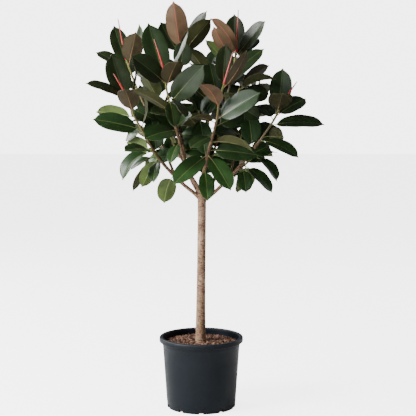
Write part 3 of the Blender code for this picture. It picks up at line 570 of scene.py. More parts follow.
def bark_finish():
    """Tan bark, greenish in patches, with short rusty cracks and pale pores across it."""
    made, tree, surface = new_finish("thin_bark", (0.330, 0.220, 0.135), 0.75)
    patch = grain(tree, 22.0, 5.0)
    tint = ramp(tree, patch, ((0.30, (0.200, 0.108, 0.060)), (0.48, (0.320, 0.190, 0.112)),
                              (0.70, (0.430, 0.280, 0.178))))
    green = ramp(tree, grain(tree, 13.0, 3.0), ((0.50, 0.0), (0.66, 0.55)))
    tint = mixed(tree, green, tint, (0.215, 0.175, 0.060))
    crack = grain(tree, 170.0, 5.0, (0.55, 0.55, 1.0), 0.60)
    dark = ramp(tree, crack, ((0.40, 0.0), (0.52, 1.0)))
    colour = mixed(tree, dark, (0.105, 0.045, 0.026), tint)
    place = node(tree, "TexCoord").outputs["Object"]
    flat = node(tree, "Mapping", {"Vector": place, "Scale": (1.0, 1.0, 2.4)})
    pores = node(tree, "TexVoronoi", {"Vector": flat.outputs[0], "Scale": 120.0})
    pore = ramp(tree, pores.outputs["Distance"], ((0.14, 1.0), (0.24, 0.0)))
    colour = mixed(tree, sum_of(tree, "MULTIPLY", pore, 0.60), colour, (0.520, 0.350, 0.240))
    # Above the fork the bark turns darker and browner: partly the limbs' own browner bark, partly
    # painted shade under the crown.
    height = node(tree, "SeparateXYZ", {0: place}).outputs["Z"]
    above = sum_of(tree, "MULTIPLY_ADD", height, 1 / LIMB_FADE, -LIMB_START / LIMB_FADE)
    rising = ramp(tree, above, ((0.0, 0.0), (1.0, 1.0)))
    shaded = mixed(tree, 1.0, colour, (0.46, 0.42, 0.34), "MULTIPLY")
    colour = mixed(tree, rising, colour, shaded)
    tree.links.new(colour, surface.inputs["Base Color"])
    rough = relief(tree, surface, crack, 0.0012)
    relief(tree, surface, pore, 0.0006, rough)
    return made


TRUNK_RING_STEP = 0.045
LIMB_RING_STEP = 0.022
STEM_SIDES = 20
SKIN_GRAIN = 0.0020


def make_wood():
    """All the wood in one skin, melted together where it forks."""
    draw = random.Random(3)
    shape = bmesh.new()
    for name in WOOD:
        places, radii = fine_stem(name, 0.003)
        if name == "trunk":
            radii = ringed(places, radii, draw, TRUNK_RING_STEP, 0.0006)
        else:
            radii = ringed(places, radii, draw, LIMB_RING_STEP, 0.0005)
        ring_loft(shape, places, radii, STEM_SIDES)
    mesh = bpy.data.meshes.new("wood")
    shape.to_mesh(mesh)
    shape.free()
    piece = new_piece("wood", mesh)
    melt = piece.modifiers.new("melt", "REMESH")
    melt.mode = "VOXEL"
    melt.voxel_size = SKIN_GRAIN
    even = piece.modifiers.new("even", "SMOOTH")
    even.factor = 0.5
    even.iterations = 6
    keep_result(piece)
    outward = [Vector(point.normal) for point in piece.data.vertices]
    for point, way in zip(piece.data.vertices, outward):
        place = Vector(point.co)
        rough = noise.noise(Vector((place.x, place.y, place.z * 0.35)) / 0.006)
        point.co = place + way * 0.00035 * rough
    piece.data.shade_smooth()
    return piece


STEMS["trunk"] = trunk_route()
for stem_name, (_, stem_points) in LIMBS.items():
    set_stem(stem_name, stem_points, LIMB_RADIUS, BRANCH_RADIUS)
for stem_name, (_, stem_points) in BRANCHES.items():
    set_stem(stem_name, stem_points, BRANCH_RADIUS, SHOOT_RADIUS * SHOOT_TAPER)
WOOD = list(STEMS)
finish_piece(make_wood(), WOOD, bark_finish())


# ------------------------------------------------------------------------ the green shoots
# Each limb and branch ends in green shoots of the last few years' growth. They are smooth,
# yellow-green turning brown towards the wood, and ringed at every leaf.

# The green shoots, given in the same way as the limbs.
SHOOTS = {
    "left_top_shoot": ("left_top_branch", (
        (-0.230, 0.050, 1.270), (-0.275, 0.055, 1.370), (-0.316, 0.050, 1.484))),
    "left_shoot": ("left_limb", (
        (-0.203, -0.100, 1.120), (-0.240, -0.115, 1.190), (-0.285, -0.120, 1.275),
        (-0.308, -0.120, 1.341))),
    "centre_left_shoot": ("centre_left_limb", (
        (-0.105, -0.145, 1.220), (-0.122, -0.175, 1.290), (-0.138, -0.205, 1.365),
        (-0.145, -0.220, 1.433))),
    "top_shoot": ("top_branch", (
        (-0.090, -0.005, 1.290), (-0.088, 0.010, 1.400), (-0.081, 0.020, 1.535))),
    "right_top_shoot": ("right_top_branch", (
        (0.092, 0.010, 1.270), (0.124, 0.005, 1.390), (0.147, 0.000, 1.514))),
    "front_shoot": ("centre_right_limb", (
        (0.053, -0.160, 1.191), (0.066, -0.200, 1.254), (0.074, -0.228, 1.315),
        (0.093, -0.250, 1.389))),
    "right_shoot": ("right_limb", (
        (0.238, -0.040, 1.137), (0.268, -0.045, 1.179), (0.305, -0.050, 1.237),
        (0.338, -0.050, 1.301))),
    "right_inner_shoot": ("right_top_branch", (
        (0.080, 0.008, 1.205), (0.122, -0.004, 1.270), (0.163, -0.020, 1.367))),
    "low_left_shoot": ("left_limb", (
        (-0.158, -0.074, 1.055), (-0.178, -0.105, 1.080), (-0.206, -0.140, 1.118))),
    "low_right_shoot": ("right_limb", (
        (0.140, -0.016, 1.012), (0.178, 0.012, 1.036), (0.232, 0.030, 1.082))),
    "inner_left_shoot": ("centre_left_limb", (
        (-0.052, -0.062, 1.026), (-0.115, -0.030, 1.130), (-0.160, 0.000, 1.260))),
    "inner_shoot": ("back_limb", (
        (0.010, 0.062, 1.028), (0.000, 0.035, 1.120), (-0.010, 0.020, 1.270))),
    "inner_right_shoot": ("right_limb", (
        (0.120, -0.012, 0.990), (0.145, 0.035, 1.080), (0.190, 0.065, 1.210))),
    "inner_top_shoot": ("back_limb", (
        (0.014, 0.085, 1.070), (0.030, 0.070, 1.200), (0.030, 0.045, 1.400))),
    "back_left_shoot": ("back_left_limb", (
        (-0.120, 0.180, 1.150), (-0.165, 0.240, 1.240), (-0.200, 0.270, 1.330))),
    "back_low_left_shoot": ("back_left_limb", (
        (-0.080, 0.118, 1.058), (-0.150, 0.150, 1.095), (-0.225, 0.190, 1.130))),
    "back_shoot": ("back_limb", (
        (0.022, 0.140, 1.180), (0.030, 0.210, 1.250), (0.035, 0.270, 1.340))),
    "back_top_shoot": ("back_limb", (
        (0.018, 0.115, 1.130), (0.025, 0.135, 1.250), (0.035, 0.170, 1.460))),
    "back_right_shoot": ("back_right_limb", (
        (0.150, 0.180, 1.150), (0.205, 0.235, 1.235), (0.245, 0.260, 1.330))),
    "back_low_right_shoot": ("back_right_limb", (
        (0.100, 0.115, 1.048), (0.165, 0.170, 1.075), (0.240, 0.205, 1.110))),
}

# The red sheath round the bud at a shoot's tip: how far it reaches from there.
SHEATHS = {
    "left_top_shoot": (-0.034, 0.000, 0.170),
    "left_shoot": (-0.050, 0.000, 0.086),
    "centre_left_shoot": (-0.042, 0.000, 0.132),
    "right_top_shoot": (0.008, 0.000, 0.176),
    "front_shoot": (0.036, 0.000, 0.126),
    "right_shoot": (0.060, 0.000, 0.092),
    "back_left_shoot": (-0.020, 0.030, 0.120),
    "back_right_shoot": (0.020, 0.030, 0.110),
}
for stem_name, (_, stem_points) in SHOOTS.items():
    set_stem(stem_name, stem_points, SHOOT_RADIUS * SHOOT_TAPER, SHOOT_RADIUS)


def shoot_finish():
    """Yellow-green skin, browner and rougher towards its older end."""
    made, tree, surface = new_finish("green_stem", (0.200, 0.210, 0.060), 0.45)
    age = node(tree, "Attribute", attribute_name="stem_age").outputs["Fac"]
    speck = grain(tree, 120.0, 5.0, (1.0, 1.0, 0.5))
    worn = sum_of(tree, "ADD", age, sum_of(tree, "MULTIPLY_ADD", speck, 0.9, -0.45))
    colour = ramp(tree, worn, ((0.05, (0.190, 0.205, 0.045)), (0.45, (0.125, 0.110, 0.030)),
                               (0.95, (0.130, 0.075, 0.038))))
    tree.links.new(colour, surface.inputs["Base Color"])
    relief(tree, surface, grain(tree, 300.0, 4.0, (1.0, 1.0, 0.3)), 0.0008)
    return made


# ------------------------------------------------------------------------------ the leaves
# Thick leathery blades on short stalks: very dark glossy green above with a pale midrib,
# and matte below, pinkish brown while young, then olive, then green. The older ones hang.
LEAF_SCALE = 1.0
STALK_LENGTH = 0.026
STALK_RADIUS = 0.0016
MIDRIB_RISE = 0.0006
MIDRIB_DEPTH = 0.0010
SHEATH_RADIUS = 0.0036
SHEATH_TIP_RADIUS = 0.0008
SHEATH_COLLAR = 0.004
SHEATH_BOW = 0.006
LEAF_GAP = 0.0020
GAP = 0.0003

# Half width of a blade, as a share of its greatest, at each share of its length.
BLADE_OUTLINE = ((0.00, 0.06), (0.08, 0.54), (0.25, 0.90), (0.50, 1.00),
                 (0.73, 0.88), (0.88, 0.56), (0.95, 0.16), (1.00, 0.03))

# How far a blade arches, or bends back where it stands upright, and how far it folds.
ARCH = 0.010
UPRIGHT = -0.016
FOLD = 12.0


def leaf(along, reach, width, looks, arch=ARCH, fold=FOLD, bow=0.0):
    """One leaf of the crown, as the lists below give it."""
    return {"along": along, "reach": Vector(reach), "width": width,
            "looks": Vector(looks), "arch": arch, "fold": fold, "bow": bow}


# The leaves on each shoot: how far along it, the way to the tip, the width, and the way the
# upper side looks.
LEAVES = {
    "left_top_shoot": [
        leaf(0.86, (-0.066, 0.060, 0.174), 0.082, (0.3, -1.0, 0.2), UPRIGHT),
        leaf(0.88, (0.036, -0.080, 0.140), 0.090, (0.0, 1.0, 0.5), UPRIGHT),
        leaf(0.93, (0.044, 0.075, 0.166), 0.074, (-0.9, -0.5, 0.2), -0.030),
        leaf(0.77, (-0.142, 0.030, 0.094), 0.066, (0.3, -0.8, 0.9)),
        leaf(0.62, (0.120, -0.050, 0.100), 0.088, (0.0, -1.0, 0.4)),
        leaf(0.66, (-0.050, 0.150, 0.070), 0.080, (0.0, -0.4, 1.0)),
        leaf(0.35, (-0.120, 0.090, 0.060), 0.080, (0.2, -0.3, 1.0)),
    ],
    "left_shoot": [
        leaf(0.93, (-0.067, 0.065, 0.182), 0.104, (0.3, -1.0, 0.3), UPRIGHT),
        leaf(0.90, (0.034, 0.010, 0.160), 0.070, (-1.0, 0.0, 0.2), UPRIGHT),
        leaf(0.92, (-0.166, -0.050, 0.068), 0.082, (0.0, -0.50, 1.0)),
        leaf(0.66, (-0.028, -0.110, 0.105), 0.090, (0.0, 0.7, 0.8)),
        leaf(0.54, (-0.020, 0.030, 0.115), 0.070, (-0.8, -0.6, 0.2)),
        leaf(0.38, (0.010, 0.070, 0.122), 0.070, (1.0, 0.2, 0.0)),
        leaf(0.59, (-0.165, 0.050, 0.022), 0.074, (0.0, 1.0, 0.6)),
        leaf(0.36, (-0.196, -0.060, 0.046), 0.086, (0.0, -1.0, 0.6)),
        leaf(0.30, (-0.075, 0.080, -0.020), 0.070, (0.0, -1.0, 0.5)),
    ],
    "centre_left_shoot": [
        leaf(0.93, (-0.070, 0.090, 0.215), 0.104, (0.2, -1.0, 0.3), UPRIGHT),
        leaf(0.79, (-0.125, -0.060, 0.125), 0.096, (0.1, -1.0, 0.6)),
        leaf(0.72, (0.050, -0.120, 0.110), 0.086, (-0.2, 0.6, 0.8)),
        leaf(0.93, (0.092, 0.020, 0.182), 0.070, (-1.0, -0.25, 0.4), UPRIGHT),
        leaf(0.23, (-0.160, -0.080, 0.100), 0.078, (0.0, 0.45, 1.0)),
        leaf(0.43, (0.128, -0.100, 0.170), 0.100, (0.2, -1.0, 0.4)),
        leaf(0.52, (0.025, -0.100, -0.110), 0.062, (0.3, -0.7, 0.5)),
        leaf(0.57, (0.085, -0.130, -0.080), 0.070, (0.3, 0.2, 1.0)),
        leaf(0.12, (-0.090, -0.100, 0.030), 0.070, (0.0, -0.6, 0.8)),
    ],
    "top_shoot": [
        leaf(0.93, (-0.032, -0.060, 0.206), 0.094, (0.1, 1.0, 0.3), UPRIGHT),
        leaf(0.92, (0.106, 0.025, 0.172), 0.070, (-0.5, -0.8, 0.5), UPRIGHT, bow=-0.014),
        leaf(0.86, (0.125, -0.070, 0.150), 0.096, (-0.3, 0.8, 0.5), UPRIGHT, bow=0.014),
        leaf(0.88, (-0.088, 0.045, 0.136), 0.090, (0.4, -1.0, 0.3), UPRIGHT),
        leaf(0.62, (0.020, -0.080, 0.120), 0.080, (0.0, -1.0, 0.4)),
        leaf(0.80, (0.010, 0.150, 0.110), 0.085, (0.0, -0.5, 1.0)),
        leaf(0.55, (-0.130, 0.080, 0.070), 0.085, (0.3, -0.5, 1.0)),
        leaf(0.42, (0.130, 0.050, 0.060), 0.085, (0.0, -0.6, 1.0)),
    ],
    "right_top_shoot": [
        leaf(0.93, (-0.004, 0.065, 0.178), 0.088, (0.0, -1.0, 0.3), UPRIGHT),
        leaf(0.92, (-0.105, -0.025, 0.160), 0.070, (0.6, 0.6, 0.5), 0.006, bow=-0.028),
        leaf(0.90, (-0.090, -0.100, 0.130), 0.078, (0.4, 0.8, 0.5), UPRIGHT),
        leaf(0.93, (0.122, -0.030, 0.146), 0.076, (-0.5, -0.8, 0.4), UPRIGHT, bow=-0.014),
        leaf(0.87, (0.105, 0.080, 0.090), 0.070, (-0.2, -0.7, 0.8)),
        leaf(0.72, (-0.116, 0.030, 0.122), 0.076, (0.6, 0.6, 0.5), bow=0.014),
        leaf(0.62, (-0.060, 0.140, 0.060), 0.082, (0.0, -0.5, 1.0)),
        leaf(0.45, (0.110, 0.120, 0.030), 0.082, (0.0, -0.4, 1.0)),
    ],
    "front_shoot": [
        leaf(0.93, (0.012, 0.060, 0.172), 0.076, (0.1, -1.0, 0.2), UPRIGHT),
        leaf(0.90, (0.094, -0.060, 0.152), 0.062, (-0.5, 0.8, 0.3), UPRIGHT),
        leaf(0.90, (0.168, 0.060, 0.160), 0.074, (-0.4, -0.9, 0.4), bow=-0.006),
        leaf(0.52, (-0.054, -0.110, 0.135), 0.080, (0.3, 0.8, 0.5), bow=-0.010),
        leaf(0.54, (-0.037, 0.070, 0.180), 0.086, (0.2, -1.0, 0.2)),
        leaf(0.20, (-0.103, -0.120, 0.028), 0.070, (0.0, 0.5, 0.9)),
        leaf(0.27, (0.175, -0.060, 0.113), 0.096, (-0.2, -1.0, 0.5)),
        leaf(0.12, (0.120, 0.060, 0.050), 0.080, (0.0, -1.0, 0.3)),
    ],
    "right_shoot": [
        leaf(0.82, (0.020, 0.065, 0.178), 0.096, (0.0, -1.0, 0.3), UPRIGHT),
        leaf(0.76, (0.015, -0.140, 0.090), 0.102, (0.0, 0.55, 0.85)),
        leaf(0.68, (0.124, 0.050, 0.086), 0.086, (-0.3, -0.8, 0.6)),
        leaf(0.47, (0.222, -0.040, 0.006), 0.090, (0.0, -0.55, 0.85), 0.015),
        leaf(0.07, (0.158, -0.070, -0.066), 0.078, (0.2, -0.6, 0.8), 0.018),
        leaf(0.16, (0.090, -0.020, 0.000), 0.086, (-0.2, 1.0, 0.4)),
        leaf(0.60, (-0.060, 0.130, 0.060), 0.080, (0.0, -0.5, 1.0)),
    ],
    "right_inner_shoot": [
        leaf(0.93, (0.100, 0.070, 0.128), 0.078, (-0.5, 0.6, 0.6)),
        leaf(0.93, (0.152, -0.060, 0.048), 0.092, (0.0, 0.35, 1.0), 0.016, 24.0),
        leaf(0.80, (0.135, 0.020, 0.020), 0.080, (0.0, -1.0, 0.4)),
        leaf(0.60, (0.110, -0.050, -0.060), 0.076, (0.0, -1.0, 0.4)),
        leaf(0.55, (-0.030, -0.120, 0.060), 0.076, (0.0, -0.4, 1.0)),
    ],
    "low_left_shoot": [
        leaf(0.93, (-0.105, -0.110, 0.005), 0.076, (0.0, -0.6, 1.0)),
        leaf(0.85, (-0.122, -0.060, -0.112), 0.086, (-0.7, -0.7, 0.6), 0.034, 22.0),
        leaf(0.90, (-0.110, 0.070, 0.030), 0.074, (0.0, 1.0, 0.3)),
        leaf(0.55, (-0.105, -0.030, -0.052), 0.070, (0.0, -0.2, 1.0)),
        leaf(0.45, (-0.074, 0.060, -0.120), 0.066, (0.0, 1.0, 0.3)),
        leaf(0.35, (-0.020, -0.090, -0.088), 0.056, (-0.5, -1.0, 0.3)),
    ],
    "low_right_shoot": [
        leaf(0.93, (0.092, -0.080, -0.098), 0.076, (0.55, -0.55, 0.6), 0.018, 22.0),
        leaf(0.46, (0.118, -0.040, -0.112), 0.072, (0.4, -0.6, 0.7), 0.014),
        leaf(0.38, (0.014, -0.070, -0.102), 0.068, (0.1, -1.0, 0.4)),
        leaf(0.24, (-0.008, -0.050, -0.096), 0.048, (0.5, 0.8, 0.4)),
        leaf(0.50, (0.020, 0.090, -0.110), 0.070, (0.0, 0.9, 0.5)),
        leaf(0.90, (0.100, 0.110, 0.010), 0.074, (0.0, -0.3, 1.0)),
    ],
}


SPIRAL_ANGLE = 137.5


def whorl(count, start, length, width, first_lift=55.0, last_lift=-5.0, light=(0.0, 0.4)):
    """Leaves in the spiral that a shoot grows them in, the young upright ones at its tip.

    Their upper sides look up and towards the light, which comes from outside the crown.
    """
    leaves = []
    for index in range(count):
        share = index / (count - 1)
        heading = math.radians(start + SPIRAL_ANGLE * index)
        lift = math.radians(first_lift + (last_lift - first_lift) * share)
        grown = length * (0.86 + 0.14 * math.sin(math.pi * share))
        reach = (grown * math.cos(lift) * math.cos(heading),
                 grown * math.cos(lift) * math.sin(heading),
                 grown * math.sin(lift))
        looks = (light[0] - 0.3 * math.cos(heading), light[1] - 0.3 * math.sin(heading), 0.8)
        leaves.append(leaf(0.91 - 0.65 * share, reach, width, looks))
    return leaves


LEAVES["inner_left_shoot"] = whorl(8, 250.0, 0.180, 0.088, 50.0, -8.0, (-0.2, -0.9))
LEAVES["inner_shoot"] = whorl(9, 235.0, 0.180, 0.088, 50.0, -8.0, (0.0, -0.9))
LEAVES["inner_right_shoot"] = whorl(8, 290.0, 0.180, 0.086, 50.0, -8.0, (0.2, -0.9))
LEAVES["inner_top_shoot"] = whorl(8, 260.0, 0.180, 0.088, 50.0, 0.0, (0.0, -0.9))
LEAVES["back_left_shoot"] = whorl(8, 100.0, 0.185, 0.086)
LEAVES["back_low_left_shoot"] = whorl(6, 200.0, 0.170, 0.080, 35.0, -25.0)
LEAVES["back_shoot"] = whorl(8, 60.0, 0.185, 0.088)
LEAVES["back_top_shoot"] = whorl(9, 80.0, 0.190, 0.088)
LEAVES["back_right_shoot"] = whorl(8, 20.0, 0.185, 0.086)
LEAVES["back_low_right_shoot"] = whorl(6, 330.0, 0.170, 0.080, 35.0, -25.0)

# Leaves that grow straight from the wood: their limb, then the same values.
WOOD_LEAVES = {
    "front_left_leaf": ("centre_right_limb", leaf(
        0.60, (-0.140, -0.120, -0.112), 0.092, (-0.2, -0.9, 0.6))),
    "front_low_leaf": ("centre_right_limb", leaf(
        0.36, (0.014, -0.090, -0.128), 0.068, (0.1, -1.0, 0.5))),
    "front_right_leaf": ("centre_right_limb", leaf(
        0.60, (0.094, -0.110, -0.138), 0.088, (0.35, -1.0, 0.45))),
    "front_level_leaf": ("centre_right_limb", leaf(
        0.68, (0.205, -0.020, -0.020), 0.092, (0.0, -1.0, 0.7))),
    "front_arched_leaf": ("centre_right_limb", leaf(
        0.82, (0.172, -0.100, -0.034), 0.080, (0.0, 0.6, 0.8), 0.020, 22.0)),
    "front_inner_leaf": ("centre_right_limb", leaf(
        0.92, (-0.090, -0.110, -0.040), 0.072, (0.0, -0.5, 0.85))),
    "left_hanging_leaf": ("left_limb", leaf(
        0.52, (-0.042, 0.060, -0.126), 0.080, (0.0, 1.0, 0.3), bow=-0.008)),
    "left_slender_leaf": ("left_limb", leaf(
        0.84, (-0.112, 0.040, -0.144), 0.048, (-0.5, 0.8, 0.4), 0.014)),
    "left_level_leaf": ("centre_left_limb", leaf(
        0.92, (-0.127, -0.120, -0.026), 0.094, (-0.1, -1.0, 0.8))),
    "left_short_leaf": ("centre_left_limb", leaf(
        0.76, (-0.035, -0.100, -0.080), 0.056, (-0.3, -0.6, 0.5))),
    "left_inner_leaf": ("left_top_branch", leaf(
        0.30, (0.010, 0.100, 0.095), 0.070, (0.0, -1.0, 0.4))),
    "left_back_leaf": ("left_top_branch", leaf(
        0.84, (-0.046, 0.040, 0.165), 0.086, (0.1, -1.0, 0.3), UPRIGHT)),
    "left_upper_leaf": ("top_branch", leaf(
        0.55, (-0.055, 0.010, 0.165), 0.090, (0.1, -1.0, 0.3), UPRIGHT)),
    "left_rising_leaf": ("left_limb", leaf(
        0.88, (-0.020, 0.060, 0.150), 0.086, (0.0, -1.0, 0.3))),
    "right_rising_leaf": ("right_limb", leaf(
        0.90, (-0.020, 0.050, 0.160), 0.090, (0.1, -1.0, 0.3))),
    "right_outer_leaf": ("right_limb", leaf(
        0.80, (0.092, 0.060, 0.048), 0.080, (0.0, -1.0, 0.5))),
    "right_back_leaf": ("right_limb", leaf(
        0.97, (0.062, 0.080, 0.104), 0.086, (0.0, -1.0, 0.3))),
    "centre_rising_leaf": ("centre_right_limb", leaf(
        0.50, (-0.025, 0.060, 0.165), 0.084, (0.0, -1.0, 0.3))),
}

# The colour under each leaf, in the order of the lists above: p pinkish brown, b brown,
# o olive, g green. What isn't listed is olive or green, by how low it hangs.
UNDERSIDES = {
    "left_top_shoot": "bbobooo",
    "left_shoot": "bbpbooggo",
    "centre_left_shoot": "obbbooooo",
    "top_shoot": "pboooooo",
    "right_top_shoot": "bppbbgoo",
    "front_shoot": "bbbpobbo",
    "right_shoot": "bbboooo",
    "right_inner_shoot": "boooo",
    "low_left_shoot": "gggggg",
    "low_right_shoot": "googgo",
}


def bud_route(shoot):
    """The line of the sheath on a shoot's bud, and its radii."""
    route = STEMS[shoot][0]
    way = (route[-1] - route[-2]).normalized()
    start = route[-1] + way * GAP
    end = start + Vector(SHEATHS[shoot]) * LEAF_SCALE
    collar = start + way * SHEATH_COLLAR
    middle = start.lerp(end, 0.5) + way * SHEATH_BOW
    points = [start] + smooth_route([collar, middle, end], 2)
    thickness = [SHEATH_RADIUS + (SHEATH_TIP_RADIUS - SHEATH_RADIUS) * (i / (len(points) - 1))
                 for i in range(len(points))]
    return points, thickness


def along_stem(name, share):
    """The point at a share of a stem's length."""
    route = STEMS[name][0]
    lengths = [(b - a).length for a, b in zip(route, route[1:])]
    wanted = share * sum(lengths)
    for index, length in enumerate(lengths):
        if wanted <= length or index == len(lengths) - 1:
            return route[index].lerp(route[index + 1], min(1.0, wanted / length))
        wanted -= length


def midline(base, values):
    """The leaf's middle line: its place, the way ahead, and up from the upper side."""
    reach = values["reach"] * LEAF_SCALE
    tip = base + reach
    looks = values["looks"].normalized()
    upper = (looks - reach * looks.dot(reach) / reach.length ** 2).normalized()
    across = reach.cross(upper) / reach.length
    curve = upper * values["arch"] + across * values["bow"]
    bend = base.lerp(tip, 0.5) + curve * 2 * LEAF_SCALE

    def at(t):
        centre = base * (1 - t) ** 2 + bend * 2 * t * (1 - t) + tip * t ** 2
        ahead = ((bend - base) * (1 - t) + (tip - bend) * t).normalized()
        up = (looks - ahead * looks.dot(ahead)).normalized()
        return centre, ahead, up

    return at, reach.length


def leaf_sections(base, values):
    """The leaf's cross sections from its stalk to its tip: left, top, right, under."""
    at, length = midline(base, values)
    stalk = STALK_LENGTH / length
    fold = math.radians(values["fold"])
    sections = []

    def section(t, half, rise, depth):
        centre, ahead, up = at(t)
        side = ahead.cross(up)
        out, lift = side * half * math.cos(fold), up * half * math.sin(fold)
        sections.append((centre - out + lift, centre + up * rise,
                         centre + out + lift, centre - up * depth))

    section(0.0, STALK_RADIUS, STALK_RADIUS, STALK_RADIUS)
    for share, width in BLADE_OUTLINE:
        t = stalk + (1 - stalk) * share
        thin = 1.0 - 0.7 * share
        half = width * values["width"] / 2 * LEAF_SCALE
        section(t, half, MIDRIB_RISE * thin, MIDRIB_DEPTH * thin)
    return sections


def blade_tree(sections, gap):
    """A leaf thickened by a gap on both sides, for finding what it would touch."""
    part_way = [a.lerp(b, FREE_STALK) for a, b in zip(sections[0], sections[1])]
    rows = [part_way] + sections[1:]
    points = []
    faces = []
    for offset in (gap, -gap):
        start = len(points)
        for left, top, right, under in rows:
            up = (top - under).normalized() * offset
            points += [left + up, (top + under) / 2 + up, right + up]
        for row in range(len(rows) - 1):
            first = start + 3 * row
            for column in (0, 1):
                corner = first + column
                faces.append((corner, corner + 1, corner + 4, corner + 3))
    across = 3 * len(rows)
    for row in range(len(rows) - 1):
        for edge in (3 * row, 3 * row + 2):
            faces.append((edge, edge + 3, edge + 3 + across, edge + across))
    for end in (0, across - 3):
        faces.append((end, end + 2, end + 2 + across, end + across))
    return BVHTree.FromPolygons(points, faces)


def stem_tree(route, radii):
    """A stem as a square tube, a little thicker than it is."""
    points = []
    faces = []
    for place, radius in zip(route, radii):
        points += [place + Vector(corner) * radius * STEM_BERTH
                   for corner in ((1, 0, 0), (0, 1, 0), (-1, 0, 0), (0, -1, 0))]
    for row in range(len(route) - 1):
        for corner in range(4):
            after = (corner + 1) % 4
            faces.append((4 * row + corner, 4 * row + after,
                          4 * row + 4 + after, 4 * row + 4 + corner))
    return BVHTree.FromPolygons(points, faces)


# What has grown so far, as the name of its stem and its shape. A leaf's stalk is only in the
# way from this share on, and the turns and the sizes are tried in this order.
GROWN = []
FREE_STALK = 0.55
STEM_BERTH = 1.3
SIZES = (1.0, 0.88, 0.76, 0.64)
TURNS = [(0.0, 0.0)] + [
    (turn * size, lift * size)
    for size in (5.0, 10.0, 15.0, 20.0, 26.0, 34.0, 44.0, 56.0)
    for turn, lift in ((1, 0), (-1, 0), (0, 1), (0, -1), (1, 1), (-1, 1), (1, -1), (-1, -1))]


def settle(stem, values):
    """Grow a leaf past the leaves and stems already there, turning it aside if it must."""
    own, stranger = 1, 10
    base = along_stem(stem, values["along"])
    best = None
    for size in SIZES:
        for turn, lift in TURNS:
            tried = dict(values)
            reach = values["reach"] * size
            level = Vector((0.0, 0.0, 1.0)).cross(reach).normalized()
            swing = (Matrix.Rotation(math.radians(turn), 3, "Z")
                     @ Matrix.Rotation(math.radians(-lift), 3, level))
            tried["reach"] = swing @ reach
            tried["looks"] = swing @ values["looks"]
            sections = leaf_sections(base, tried)
            tree = blade_tree(sections, LEAF_GAP)
            touches = sum(own if node == stem else stranger
                          for node, other in GROWN if tree.overlap(other))
            if best is None or touches < best[0]:
                best = (touches, tree, tried)
            if touches == 0:
                break
        if best[0] == 0:
            break
    GROWN.append((stem, best[1]))
    return base, best[2]


RIM_POINTS = 7
STATIONS = 22
BLADE_THICKNESS = 0.0008

# The same outline, rounded off between its points.
FINE_OUTLINE = smooth_route([Vector((share, width, 0.0)) for share, width in BLADE_OUTLINE], 5)


def blade_width(share):
    """The blade's half width there, as a share of its greatest."""
    for low, high in zip(FINE_OUTLINE, FINE_OUTLINE[1:]):
        if share <= high.x:
            return low.lerp(high, (share - low.x) / (high.x - low.x)).y
    return FINE_OUTLINE[-1].y


def bell(x, width):
    """One in the middle, falling away to nothing on both sides."""
    return math.exp(-(x / width) ** 2)


def loft_blade(shape, base, values, draw, marks):
    """A leaf's blade with its fold, its wavy edge, its sunk midrib and its keel below."""
    at, length = midline(base, values)
    stalk = STALK_LENGTH / length
    fold = math.radians(values["fold"])
    half_width = values["width"] / 2 * LEAF_SCALE
    waves = draw.uniform(2.0, 3.5)
    phase = draw.uniform(0.0, 2 * math.pi)
    droop = draw.uniform(0.0006, 0.0022)
    columns = [math.sin(math.pi / 2 * (k / RIM_POINTS)) for k in range(-RIM_POINTS, RIM_POINTS + 1)]
    tops = []
    unders = []
    for station in range(STATIONS + 1):
        share = 0.5 - 0.5 * math.cos(math.pi * station / STATIONS)
        centre, ahead, up = at(stalk + (1 - stalk) * share)
        side = ahead.cross(up)
        half = half_width * blade_width(share)
        top_row = []
        under_row = []
        for column in columns:
            across = column * half
            soft = math.sqrt(across ** 2 + 0.0020 ** 2) - 0.0020
            ripple = 0.0011 * math.sin(2 * math.pi * waves * share + phase + 2.0 * column)
            lift = (soft * math.sin(fold) - droop * abs(column) ** 5
                    + ripple * abs(column) ** 3 * math.sin(math.pi * share))
            place = centre + side * across * math.cos(fold) + up * lift
            groove = 0.0004 * bell(across, 0.0012)
            keel = 0.0009 * bell(across, 0.0018) * (1 - share) ** 0.5
            thick = BLADE_THICKNESS * (1 - 0.45 * abs(column) ** 4)
            marks["across"] += [across, across]
            marks["along"] += [share * length, share * length]
            top_row.append(shape.verts.new(place + up * (thick / 2 - groove)))
            under_row.append(shape.verts.new(place - up * (thick / 2 + keel)))
        tops.append(top_row)
        unders.append(under_row)
    upper_side, underside, edge_side = 0, 1, 2
    last = len(columns) - 1
    for row in range(STATIONS):
        for k in range(last):
            face = shape.faces.new((tops[row][k], tops[row + 1][k],
                                    tops[row + 1][k + 1], tops[row][k + 1]))
            face.material_index = upper_side
            face = shape.faces.new((unders[row][k], unders[row][k + 1],
                                    unders[row + 1][k + 1], unders[row + 1][k]))
            face.material_index = underside
        for k, order in ((0, 1), (last, -1)):
            corners = (tops[row][k], unders[row][k], unders[row + 1][k], tops[row + 1][k])
            face = shape.faces.new(corners[::order])
            face.material_index = edge_side
    for row, order in ((0, 1), (STATIONS, -1)):
        for k in range(last):
            corners = (tops[row][k], tops[row][k + 1], unders[row][k + 1], unders[row][k])
            face = shape.faces.new(corners[::order])
            face.material_index = edge_side


def loft_stalk(shape, base, values, marks):
    """The stalk, which runs on under the blade as its midrib."""
    at, length = midline(base, values)
    stalk = STALK_LENGTH / length
    sides = 8
    places = []
    radii = []
    for step in range(12):
        share = step / 11
        t = share * (stalk + 0.55 * (1 - stalk))
        centre, _, up = at(t)
        sunk = 0.0 if t < stalk else 0.0004 + 0.0004 * min(1.0, (t - stalk) / 0.1)
        places.append(centre - up * sunk)
        radii.append(STALK_RADIUS * (1.12 - 0.85 * share) * (1.35 if step == 0 else 1.0))
    first = len(shape.faces)
    ring_loft(shape, places, radii, sides)
    shape.faces.ensure_lookup_table()
    for face in shape.faces[first:]:
        face.material_index = 3
    marks["across"] += [0.0] * sides * len(places)
    marks["along"] += [0.0] * sides * len(places)


